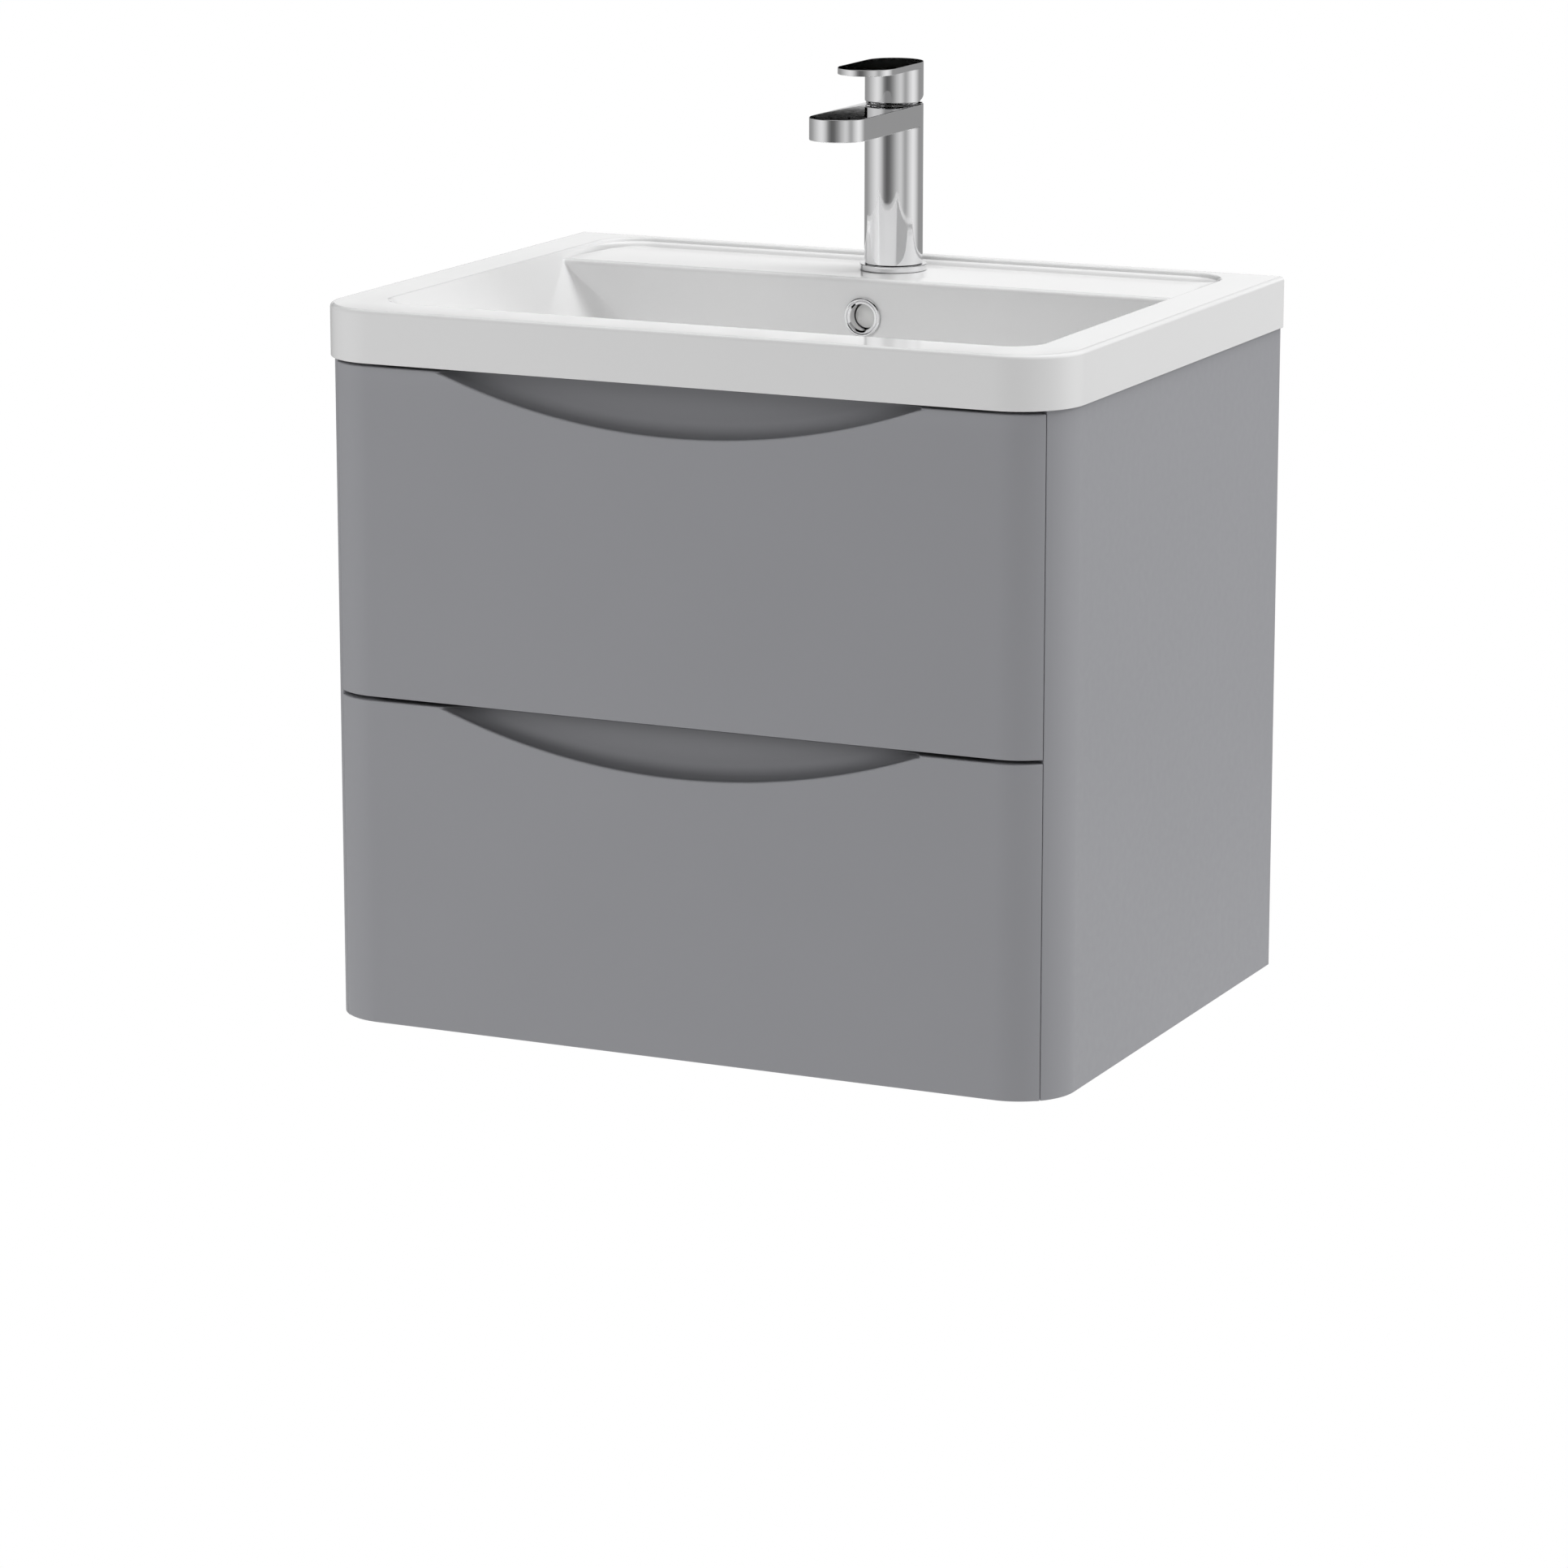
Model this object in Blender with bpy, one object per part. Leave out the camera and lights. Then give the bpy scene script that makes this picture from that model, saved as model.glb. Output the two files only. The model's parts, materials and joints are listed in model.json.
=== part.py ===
"""Wall-hung bathroom vanity: two-drawer cabinet with rounded corners, a moulded
basin, a lever basin mixer, a pop-up waste and a bottle trap.

Metres, +Z up.  The wall is the plane Y = 0 and the front faces -Y.  The origin is
the centre of the rear face of the hanging rail.  Each function makes one sub-part
or one family of repeated sub-parts.
"""
import math

import bmesh
import bpy
from mathutils import Matrix, Vector

# ---------------------------------------------------------------- driving sizes
GAP = 0.0003                    # air left between pieces that touch
RIM_Z = 0.095                   # top of the basin, above the hanging rail's centre

BASIN_WIDTH = 0.605
BASIN_DEPTH = 0.456
BASIN_EDGE = 0.040              # height of the basin's outer edge
BASIN_CORNER = 0.050            # plan radius of the basin's front corners
BASIN_PLATE = 0.020             # thickness of the basin's top plate
FRONT_RIM = 0.041               # width of the rim in front of the bowl
BACK_RIM = 0.012                # width of the rim behind the tap deck
SIDE_RIM = 0.037                # width of the rim beside the bowl
DECK_DROP = 0.005               # tap deck below the rim
BOWL_FLOOR_DROP = 0.112         # bowl's floor below the rim
BOWL_BACK = 0.118               # bowl's back wall in front of the wall plane
SIDE_SLOPE = 0.766              # run of the bowl's side walls per metre of drop
FRONT_SLOPE = 0.58              # run of the bowl's front wall per metre of drop
BACK_SLOPE = 0.018              # run of the bowl's back wall per metre of drop
BOWL_WALL = 0.013
DUCT_HALF = 0.018               # half width of the overflow duct
DUCT_BOSS_HALF = 0.040
WASTE_TUBE = 0.0205             # outer radius of the waste's tube
WASTE_TUBE_LENGTH = 0.075
TRAP_OUTLET_DROP = 0.040        # trap's outlet below the end of the waste's tube
OUTLET_STUB = 0.0180            # outer radius of the trap's outlet stub
OUTLET_PIPE = 0.0160            # outer radius of the pipe to the wall

CABINET_WIDTH = 0.600
CABINET_HEIGHT = 0.5076
CABINET_SETBACK = 0.0055        # drawer fronts behind the basin's front edge
CABINET_CORNER = 0.045          # plan radius of the cabinet's front corners
BOARD = 0.018                   # carcass and drawer-front boards
REVEAL = 0.003                  # gap above each drawer front
MITRE_SEAM = 0.0009             # gap between a drawer front and a side panel
TOP_RAIL_HEIGHT = 0.060
MIDDLE_RAIL = (-0.209, -0.191)  # underside and top of the rail between the drawers
MIDDLE_RAIL_DEPTH = 0.060
BOTTOM_RAIL_HEIGHT = 0.090
BRACKET_LEG = 0.045
BRACKET_STEEL = 0.0025
BRACKET_LEVELS = (-0.130, -0.070)

SMILE_RADIUS = 0.560            # arc of the finger recess
SMILE_DROP = 0.036              # lowest point of the arc below the front's top edge
SMILE_DEPTH = 0.0145
SMILE_COVE = 0.013              # radius of the recess's scooped edge

DRAWER_TRAVEL = 0.350
BOX_DEPTH = 0.350
BOX_BOARD = 0.012
BOX_FLOOR = 0.006
GROOVE_DEPTH = 0.005            # drawer floor let into the sides
GROOVE_HEIGHT = 0.010           # underside of the floor above the side's lower edge
RUNNER_WIDTH = 0.0127
RUNNER_STEEL = 0.0013
RUNNER_SETBACK = 0.002          # runner ends inside the box's ends
UPPER_BOX = (-0.177, -0.065)    # bottom and top of the upper drawer's box
LOWER_BOX = (-0.418, -0.232)    # bottom and top of the lower drawer's box
NOTCH_HALF_WIDTH = 0.085        # clear half width of the upper drawer's trap notch
NOTCH_FRONT_Y = -0.286          # front end of the clear notch

TAP_Y = -0.0605                 # the tap's axis
TAP_RADIUS = 0.0228
SPOUT_REACH = 0.1033            # tap axis to the centre of the spout's round end
SPOUT_TOP = 0.1248              # above the rim
SPOUT_THICK = 0.0173
LEVER_REACH = 0.0510
LEVER_BOTTOM = 0.1265           # above the rim
LEVER_CAP_TOP = 0.1525
LEVER_TOP = 0.1575
LEVER_RELIEF = math.radians(18.5)
TAP_HOLE = 0.0175               # radius

WASTE_Y = -0.241
WASTE_HOLE = 0.0230             # radius
OVERFLOW_DROP = 0.035
OVERFLOW_HOLE = 0.0125          # radius

# --------------------------------------------------------------- derived places
FRONT_Y = -BASIN_DEPTH
FACE_Y = FRONT_Y + CABINET_SETBACK
FACE_BACK_Y = FACE_Y + BOARD
HALF = CABINET_WIDTH / 2
INNER = HALF - BOARD
CORNER_X = HALF - CABINET_CORNER
CORNER_Y = FACE_Y + CABINET_CORNER
CABINET_TOP = RIM_Z - BASIN_EDGE
CABINET_BOTTOM = CABINET_TOP - CABINET_HEIGHT
FRONT_HEIGHT = CABINET_HEIGHT / 2 - REVEAL
UPPER_FRONT_TOP = CABINET_TOP - REVEAL
LOWER_FRONT_TOP = UPPER_FRONT_TOP - FRONT_HEIGHT - REVEAL
CARCASS_FRONT_Y = FACE_BACK_Y + 0.0015
DECK_Z = RIM_Z - DECK_DROP
FLOOR_Z = RIM_Z - BOWL_FLOOR_DROP
BOWL_UNDER_Z = FLOOR_Z - BOWL_WALL
DUCT_BOSS_Z = BOWL_UNDER_Z - 0.014
BOWL_HALF = BASIN_WIDTH / 2 - SIDE_RIM
BOWL_FRONT_Y = FRONT_Y + FRONT_RIM
BOX_HALF = INNER - RUNNER_WIDTH - GAP
BOX_FRONT_Y = FACE_BACK_Y + GAP
BOX_BACK_Y = BOX_FRONT_Y + BOX_DEPTH

# ------------------------------------------------------ colour, roughness, metal
LACQUER = ((0.255, 0.258, 0.275), 0.45, 0.0)
BASIN_WHITE = ((0.86, 0.86, 0.86), 0.12, 0.0)
CHROME = ((0.78, 0.78, 0.79), 0.06, 1.0)
BRASS = ((0.62, 0.46, 0.20), 0.30, 1.0)
STEEL = ((0.58, 0.59, 0.61), 0.32, 1.0)
WHITE_PLASTIC = ((0.82, 0.82, 0.80), 0.35, 0.0)
BOX_LAMINATE = ((0.62, 0.62, 0.63), 0.50, 0.0)
RUBBER = ((0.035, 0.035, 0.035), 0.75, 0.0)


# ------------------------------------------------------------------- mesh tools
def clear_scene():
    for item in list(bpy.data.objects):
        bpy.data.objects.remove(item, do_unlink=True)


def make_material(name, finish):
    colour, roughness, metallic = finish
    material = bpy.data.materials.new(name)
    material.use_nodes = True
    shader = material.node_tree.nodes["Principled BSDF"]
    shader.inputs["Base Color"].default_value = (*colour, 1.0)
    shader.inputs["Roughness"].default_value = roughness
    shader.inputs["Metallic"].default_value = metallic
    return material


def make_object(name, shape, finish, parent=None):
    """Turn a bmesh drawn in world coordinates into a named object."""
    bmesh.ops.remove_doubles(shape, verts=shape.verts, dist=1e-7)
    bmesh.ops.recalc_face_normals(shape, faces=shape.faces)
    mesh = bpy.data.meshes.new(name)
    shape.to_mesh(mesh)
    shape.free()
    item = bpy.data.objects.new(name, mesh)
    bpy.context.scene.collection.objects.link(item)
    if finish is None:
        item.hide_render = True
        item.display_type = "WIRE"
    else:
        mesh.materials.append(make_material(name, finish))
    if parent is not None:
        mesh.transform(Matrix.Translation(-parent.location))
        item.parent = parent
    return item


def round_off(item, angle=math.radians(35)):
    item.data.shade_smooth()
    item.data.set_sharp_from_angle(angle=angle)
    return item


def joint_empty(name, location):
    empty = bpy.data.objects.new(name, None)
    empty.location = location
    empty.empty_display_size = 0.05
    bpy.context.scene.collection.objects.link(empty)
    return empty


def cut(item, *cutters):
    for cutter in cutters:
        modifier = item.modifiers.new(cutter.name, "BOOLEAN")
        modifier.operation = "DIFFERENCE"
        modifier.solver = "EXACT"
        modifier.object = cutter
    return item


def join(item, *others):
    for other in others:
        modifier = item.modifiers.new(other.name, "BOOLEAN")
        modifier.operation = "UNION"
        modifier.solver = "EXACT"
        modifier.object = other
    return item


def arc(centre, radius, start, end, steps):
    """Points on an arc, angles in degrees, both ends included."""
    points = []
    for step in range(steps + 1):
        angle = math.radians(start + (end - start) * step / steps)
        points.append((centre[0] + radius * math.cos(angle), centre[1] + radius * math.sin(angle)))
    return points


def rounded_box_outline(low, high, radii, steps=6):
    """Corner radii run front-right, back-right, back-left, front-left; none may be zero."""
    front_right, back_right, back_left, front_left = radii
    points = arc((high[0] - front_right, low[1] + front_right), front_right, -90, 0, steps)
    points += arc((high[0] - back_right, high[1] - back_right), back_right, 0, 90, steps)
    points += arc((low[0] + back_left, high[1] - back_left), back_left, 90, 180, steps)
    points += arc((low[0] + front_left, low[1] + front_left), front_left, 180, 270, steps)
    return points


def stadium_outline(half_width, front_y, back_y, steps=16):
    """A bar with round ends; front_y and back_y are the centres of its ends."""
    points = arc((0, back_y), half_width, 0, 180, steps)
    points += arc((0, front_y), half_width, 180, 360, steps)
    return points


def prism(outline, low, high, axis="Z"):
    """Extrude a closed outline along an axis; it is drawn in the other two, in order."""
    shape = bmesh.new()
    place = {
        "X": lambda a, b: Vector((low, a, b)),
        "Y": lambda a, b: Vector((a, low, b)),
        "Z": lambda a, b: Vector((a, b, low)),
    }[axis]
    face = shape.faces.new([shape.verts.new(place(a, b)) for a, b in outline])
    grown = bmesh.ops.extrude_face_region(shape, geom=[face])
    moved = [item for item in grown["geom"] if isinstance(item, bmesh.types.BMVert)]
    step = {"X": Vector((high - low, 0, 0)), "Y": Vector((0, high - low, 0)), "Z": Vector((0, 0, high - low))}
    bmesh.ops.translate(shape, verts=moved, vec=step[axis])
    return shape


def block(x, y, z):
    return prism([(x[0], y[0]), (x[1], y[0]), (x[1], y[1]), (x[0], y[1])], z[0], z[1])


def lathe(profile, centre, steps=32, tilt=None):
    """Revolve (radius, height) points about +Z, then tilt and move the result to centre."""
    shape = bmesh.new()
    verts = [shape.verts.new((radius, 0, height)) for radius, height in profile]
    edges = [shape.edges.new(pair) for pair in zip(verts, verts[1:])]
    hollow = profile[0][0] > 0
    if hollow:
        edges.append(shape.edges.new((verts[-1], verts[0])))
    bmesh.ops.spin(
        shape, geom=verts + edges, axis=(0, 0, 1), cent=(0, 0, 0),
        angle=math.tau, steps=steps, use_merge=True,
    )
    bmesh.ops.remove_doubles(shape, verts=shape.verts, dist=1e-7)
    if tilt is not None:
        bmesh.ops.transform(shape, matrix=tilt, verts=shape.verts)
    bmesh.ops.translate(shape, verts=shape.verts, vec=centre)
    return shape


def tube_profile(inner, outer, low, high):
    return [(inner, low), (outer, low), (outer, high), (inner, high)]


def rod_profile(radius, low, high):
    return [(0, low), (radius, low), (radius, high), (0, high)]


def hex_nut(inner, across, low, high, centre):
    """A six-sided nut round a vertical axis."""
    shape = bmesh.new()
    outer_radius = across / 2 / math.cos(math.pi / 6)
    sides = 24
    rings = []
    for height in (low, high):
        outer = []
        hole = []
        for side in range(sides):
            angle = math.tau * side / sides
            flat = math.cos((angle + math.pi / 6) % (math.pi / 3) - math.pi / 6)
            reach = outer_radius * math.cos(math.pi / 6) / flat
            direction = Vector((math.cos(angle), math.sin(angle), 0))
            outer.append(shape.verts.new(centre + direction * reach + Vector((0, 0, height))))
            hole.append(shape.verts.new(centre + direction * inner + Vector((0, 0, height))))
        rings.append((outer, hole))
    (outer_low, hole_low), (outer_high, hole_high) = rings
    for side in range(sides):
        after = (side + 1) % sides
        shape.faces.new((outer_low[side], outer_low[after], outer_high[after], outer_high[side]))
        shape.faces.new((hole_low[after], hole_low[side], hole_high[side], hole_high[after]))
        shape.faces.new((outer_high[side], outer_high[after], hole_high[after], hole_high[side]))
        shape.faces.new((outer_low[after], outer_low[side], hole_low[side], hole_low[after]))
    return shape


def loft(rings):
    """Skin closed rings of equal length, bottom ring first, and cap both ends."""
    shape = bmesh.new()
    loops = [[shape.verts.new(point) for point in ring] for ring in rings]
    count = len(loops[0])
    for lower, upper in zip(loops, loops[1:]):
        for side in range(count):
            after = (side + 1) % count
            shape.faces.new((lower[side], lower[after], upper[after], upper[side]))
    shape.faces.new(loops[0][::-1])
    shape.faces.new(loops[-1])
    return shape


# ---------------------------------------------------------------------- carcass
def side_panel(name, side):
    """A board whose front edge follows the corner's arc to a 45 degree mitre."""
    outline = [(INNER, 0), (HALF, 0)]
    outline += arc((CORNER_X, CORNER_Y), CABINET_CORNER, 0, -45, 8)
    outline.append((INNER, CORNER_Y - (INNER - CORNER_X)))
    outline = [(side * x, y) for x, y in outline]
    shape = prism(outline, CABINET_BOTTOM, CABINET_TOP - GAP)
    return round_off(make_object(name, shape, LACQUER))


def rails_and_base():
    reach = INNER - GAP
    top = CABINET_TOP - GAP
    base_top = CABINET_BOTTOM + BOARD
    boards = {
        "base_panel": ((CARCASS_FRONT_Y, 0), (CABINET_BOTTOM, base_top)),
        "top_front_rail": ((CARCASS_FRONT_Y, CARCASS_FRONT_Y + BOARD), (top - TOP_RAIL_HEIGHT, top)),
        "middle_front_rail": ((CARCASS_FRONT_Y, CARCASS_FRONT_Y + MIDDLE_RAIL_DEPTH), MIDDLE_RAIL),
        "hanging_rail": ((-BOARD, 0), (-top, top)),
        "bottom_back_rail": ((-BOARD, 0), (base_top + GAP, base_top + BOTTOM_RAIL_HEIGHT)),
    }
    for name, (y, z) in boards.items():
        make_object(name, block((-reach, reach), y, z), LACQUER)


def wall_bracket(name, side):
    """A steel angle that ties the side panel to the wall, with a slotted wall hole."""
    thick = BRACKET_STEEL
    outer = INNER - GAP
    low, high = BRACKET_LEVELS
    outline = [(outer, -BRACKET_LEG), (outer, 0), (outer - BRACKET_LEG, 0), (outer - BRACKET_LEG, -thick)]
    outline += [(outer - thick, -thick), (outer - thick, -BRACKET_LEG)]
    outline = [(side * x, y) for x, y in outline]
    bracket = make_object(name, prism(outline, low, high), STEEL)
    middle = (low + high) / 2
    centre_x = side * (outer - 0.026)
    slot = [(centre_x + x, middle + z) for x, z in arc((0.007, 0), 0.0035, -90, 90, 6)]
    slot += [(centre_x + x, middle + z) for x, z in arc((-0.007, 0), 0.0035, 90, 270, 6)]
    cutter = make_object(name + "_slot", prism(slot, -0.010, 0.010, "Y"), None)
    return cut(bracket, cutter)


# ---------------------------------------------------------------------- drawers
def smile_cutter(name, top_z):
    """The finger recess: a scooped profile swept about the smile's centre."""
    centre = Vector((0, 0, top_z - SMILE_DROP + SMILE_RADIUS))
    inner_radius = SMILE_RADIUS - SMILE_DROP - 0.010
    profile = [(inner_radius, FACE_Y - 0.010), (SMILE_RADIUS, FACE_Y - 0.010)]
    deep = FACE_Y + SMILE_DEPTH
    cove_centre = (SMILE_RADIUS - SMILE_COVE, deep - SMILE_COVE)
    profile += arc(cove_centre, SMILE_COVE, 0, 90, 5)
    profile.append((inner_radius, deep))
    sweep = math.radians(43)
    shape = bmesh.new()
    verts = [shape.verts.new(centre + Vector((0, y, -radius))) for radius, y in profile]
    edges = [shape.edges.new((verts[i - 1], verts[i])) for i in range(len(verts))]
    turn = Matrix.Rotation(-sweep / 2, 3, "Y")
    bmesh.ops.rotate(shape, verts=verts, cent=centre, matrix=turn)
    bmesh.ops.spin(
        shape, geom=verts + edges, axis=(0, 1, 0), cent=centre, angle=sweep, steps=20,
    )
    open_edges = [edge for edge in shape.edges if edge.is_boundary]
    bmesh.ops.holes_fill(shape, edges=open_edges, sides=0)
    return make_object(name, shape, None)


def drawer_front(name, top_z, parent):
    """A board with rounded, mitred ends and a finger recess along its top edge."""
    seam_angle = 45 + math.degrees(MITRE_SEAM / CABINET_CORNER)
    back_x = INNER - MITRE_SEAM * math.sqrt(2)
    outline = [(-back_x, FACE_BACK_Y)]
    outline += arc((-CORNER_X, CORNER_Y), CABINET_CORNER, 180 + seam_angle, 270, 8)
    outline += arc((CORNER_X, CORNER_Y), CABINET_CORNER, 270, 360 - seam_angle, 8)
    outline.append((back_x, FACE_BACK_Y))
    shape = prism(outline, top_z - FRONT_HEIGHT, top_z)
    front = make_object(name, shape, LACQUER, parent)
    return round_off(cut(front, smile_cutter(name + "_recess", top_z)))


def drawer_side(name, side, box, parent):
    """A side board with the groove that holds the drawer's floor."""
    low, high = box
    outer, inner = BOX_HALF, BOX_HALF - BOX_BOARD
    groove_low = low + GROOVE_HEIGHT
    groove_high = groove_low + BOX_FLOOR + 2 * GAP
    groove_x = inner + GROOVE_DEPTH + GAP
    outline = [(outer, low), (outer, high), (inner, high), (inner, groove_high), (groove_x, groove_high)]
    outline += [(groove_x, groove_low), (inner, groove_low), (inner, low)]
    outline = [(side * x, z) for x, z in outline]
    return make_object(name, prism(outline, BOX_FRONT_Y, BOX_BACK_Y, "Y"), BOX_LAMINATE, parent)


def floor_levels(box):
    low = box[0] + GROOVE_HEIGHT + GAP
    return low, low + BOX_FLOOR


def upper_drawer(parent):
    low, high = UPPER_BOX
    inside = BOX_HALF - BOX_BOARD - GAP
    floor_low, floor_high = floor_levels(UPPER_BOX)
    drawer_front("upper_drawer_front", UPPER_FRONT_TOP, parent)
    for word, side in (("left", -1), ("right", 1)):
        drawer_side("upper_drawer_side_" + word, side, UPPER_BOX, parent)
    floor_reach = inside + GROOVE_DEPTH
    notch_edge = NOTCH_HALF_WIDTH - GAP
    floor_front = BOX_FRONT_Y
    notch_y = NOTCH_FRONT_Y - GAP
    outline = [(-floor_reach, floor_front), (floor_reach, floor_front), (floor_reach, BOX_BACK_Y)]
    outline += [(notch_edge, BOX_BACK_Y), (notch_edge, notch_y), (-notch_edge, notch_y)]
    outline += [(-notch_edge, BOX_BACK_Y), (-floor_reach, BOX_BACK_Y)]
    make_object("upper_drawer_floor", prism(outline, floor_low, floor_high), BOX_LAMINATE, parent)
    wall_low = floor_high + GAP
    fence_x = (NOTCH_HALF_WIDTH, NOTCH_HALF_WIDTH + BOX_BOARD)
    fence_back = BOX_BACK_Y
    fence_front = NOTCH_FRONT_Y + GAP
    for word, side in (("left", -1), ("right", 1)):
        x = sorted(side * value for value in fence_x)
        shape = block(x, (fence_front, fence_back), (wall_low, high))
        make_object("upper_drawer_notch_" + word, shape, BOX_LAMINATE, parent)
        back_x = sorted(side * value for value in (fence_x[1] + GAP, inside))
        shape = block(back_x, (BOX_BACK_Y - BOX_BOARD, BOX_BACK_Y), (wall_low, high))
        make_object("upper_drawer_back_" + word, shape, BOX_LAMINATE, parent)
    shape = block((-fence_x[1], fence_x[1]), (NOTCH_FRONT_Y - BOX_BOARD, NOTCH_FRONT_Y), (wall_low, high))
    make_object("upper_drawer_notch_front", shape, BOX_LAMINATE, parent)


def lower_drawer(parent):
    low, high = LOWER_BOX
    inside = BOX_HALF - BOX_BOARD - GAP
    floor_low, floor_high = floor_levels(LOWER_BOX)
    drawer_front("lower_drawer_front", LOWER_FRONT_TOP, parent)
    for word, side in (("left", -1), ("right", 1)):
        drawer_side("lower_drawer_side_" + word, side, LOWER_BOX, parent)
    reach = inside + GROOVE_DEPTH
    shape = block((-reach, reach), (BOX_FRONT_Y, BOX_BACK_Y), (floor_low, floor_high))
    make_object("lower_drawer_floor", shape, BOX_LAMINATE, parent)
    shape = block((-inside, inside), (BOX_BACK_Y - BOX_BOARD, BOX_BACK_Y), (floor_high + GAP, high))
    make_object("lower_drawer_back", shape, BOX_LAMINATE, parent)


def runner(drawer_name, word, side, middle_z, drawer, slider):
    """A telescopic runner: three nested rolled channels, the widest on the side panel."""
    thick = RUNNER_STEEL
    front = BOX_FRONT_Y + RUNNER_SETBACK
    back = BOX_BACK_Y - RUNNER_SETBACK
    members = {
        "cabinet": (0.0, 0.0080, 0.0225, None),
        "middle": (0.0025, 0.0100, 0.0190, slider),
        "drawer": (RUNNER_WIDTH - GAP, 0.0050, 0.0155, drawer),
    }
    for member, (web, lip, half_height, parent) in members.items():
        inward = thick if lip > web else -thick
        channel = [(web, -half_height), (lip, -half_height), (lip, -half_height + thick)]
        channel += [(web + inward, -half_height + thick), (web + inward, half_height - thick)]
        channel += [(lip, half_height - thick), (lip, half_height), (web, half_height)]
        outline = [(side * (INNER - GAP - offset), middle_z + z) for offset, z in channel]
        name = f"{drawer_name}_runner_{word}_{member}"
        make_object(name, prism(outline, front, back, "Y"), STEEL, parent)


# ------------------------------------------------------------------------ basin
def bowl_ring(drop, spread=0.0, corner=0.028, back_corner=0.008):
    """The bowl's outline at a depth below the rim, grown outwards by spread."""
    half = BOWL_HALF - SIDE_SLOPE * drop + spread
    front = BOWL_FRONT_Y + FRONT_SLOPE * drop - spread
    back = -BOWL_BACK - BACK_SLOPE * drop + spread
    radii = (corner, back_corner, back_corner, corner)
    outline = rounded_box_outline((-half, front), (half, back), radii)
    return [(x, y, RIM_Z - drop) for x, y in outline]


def basin():
    half = BASIN_WIDTH / 2
    outline = [(-half, 0)]
    outline += arc((-half + BASIN_CORNER, FRONT_Y + BASIN_CORNER), BASIN_CORNER, 180, 270, 10)
    outline += arc((half - BASIN_CORNER, FRONT_Y + BASIN_CORNER), BASIN_CORNER, 270, 360, 10)
    outline.append((half, 0))
    body = make_object("basin", prism(outline, CABINET_TOP, RIM_Z), BASIN_WHITE)

    hollow = block((-half + 0.024, half - 0.024), (FRONT_Y + 0.044, -0.020),
                   (CABINET_TOP - 0.010, RIM_Z - BASIN_PLATE))
    underside = make_object("basin_underside", hollow, None)
    outer = loft([
        bowl_ring(BOWL_FLOOR_DROP + BOWL_WALL, 0.004, 0.030, 0.020),
        bowl_ring(BOWL_FLOOR_DROP, BOWL_WALL, 0.036, 0.020),
        bowl_ring(0.016, BOWL_WALL, 0.036, 0.020),
    ])
    bowl_outside = make_object("basin_bowl_outside", outer, None)
    boss_outline = [(-0.098, RIM_Z - 0.016), (-0.098, DUCT_BOSS_Z), (WASTE_Y - 0.034, DUCT_BOSS_Z)]
    boss_outline += [(WASTE_Y - 0.034, FLOOR_Z - 0.006), (-0.124, FLOOR_Z - 0.006), (-0.124, RIM_Z - 0.016)]
    boss = prism(boss_outline, -DUCT_BOSS_HALF, DUCT_BOSS_HALF, "X")
    duct_boss = make_object("basin_duct_boss", boss, None)

    bowl = loft([
        bowl_ring(BOWL_FLOOR_DROP, -0.012, 0.024, 0.016),
        bowl_ring(BOWL_FLOOR_DROP - 0.012, 0.0, 0.028, 0.012),
        bowl_ring(-0.002),
    ])
    bowl_inside = make_object("basin_bowl_inside", bowl, None)
    deck_half = BOWL_HALF - 0.0005
    recess = rounded_box_outline(
        (-deck_half, -BOWL_BACK - 0.010), (deck_half, -BACK_RIM), (0.002, 0.035, 0.035, 0.002))
    deck = make_object("basin_deck_recess", prism(recess, DECK_Z, RIM_Z + 0.010), None)
    tap_bore = lathe(rod_profile(TAP_HOLE, -0.040, 0.040), (0, TAP_Y, DECK_Z))
    tap_hole = make_object("basin_tap_hole", tap_bore, None)
    drain = lathe(rod_profile(WASTE_HOLE, -0.060, 0.060), (0, WASTE_Y, FLOOR_Z))
    waste_hole = make_object("basin_waste_hole", drain, None)
    seat = lathe(rod_profile(0.0335, -0.0025, 0.020), (0, WASTE_Y, FLOOR_Z))
    waste_seat = make_object("basin_waste_seat", seat, None)
    inlet = lathe(rod_profile(OVERFLOW_HOLE, -0.016, 0.020), (0, -BOWL_BACK, RIM_Z - OVERFLOW_DROP),
                  tilt=Matrix.Rotation(math.radians(90), 4, "X"))
    overflow_hole = make_object("basin_overflow_hole", inlet, None)
    channel = [(-0.102, RIM_Z - 0.021), (-0.102, DUCT_BOSS_Z + 0.004), (WASTE_Y, DUCT_BOSS_Z + 0.004)]
    channel += [(WASTE_Y, DUCT_BOSS_Z + 0.012), (-0.110, DUCT_BOSS_Z + 0.012), (-0.110, RIM_Z - 0.021)]
    duct = make_object("basin_overflow_duct", prism(channel, -DUCT_HALF, DUCT_HALF, "X"), None)

    cut(body, underside)
    join(body, bowl_outside, duct_boss)
    cut(body, duct, bowl_inside, deck, tap_hole, overflow_hole, waste_hole, waste_seat)
    return round_off(body)


def overflow_ring():
    """A chrome trim ring pushed into the overflow hole in the bowl's back wall."""
    profile = [(0.0100, -0.008), (0.0120, -0.008), (0.0120, 0.0003), (0.0150, 0.0006)]
    profile += [(0.0148, 0.0022), (0.0125, 0.0032), (0.0106, 0.0022)]
    back_y = -BOWL_BACK - BACK_SLOPE * OVERFLOW_DROP - 0.0006
    shape = lathe(profile, (0, back_y, RIM_Z - OVERFLOW_DROP), tilt=Matrix.Rotation(math.radians(90), 4, "X"))
    return round_off(make_object("overflow_ring", shape, CHROME))


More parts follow.
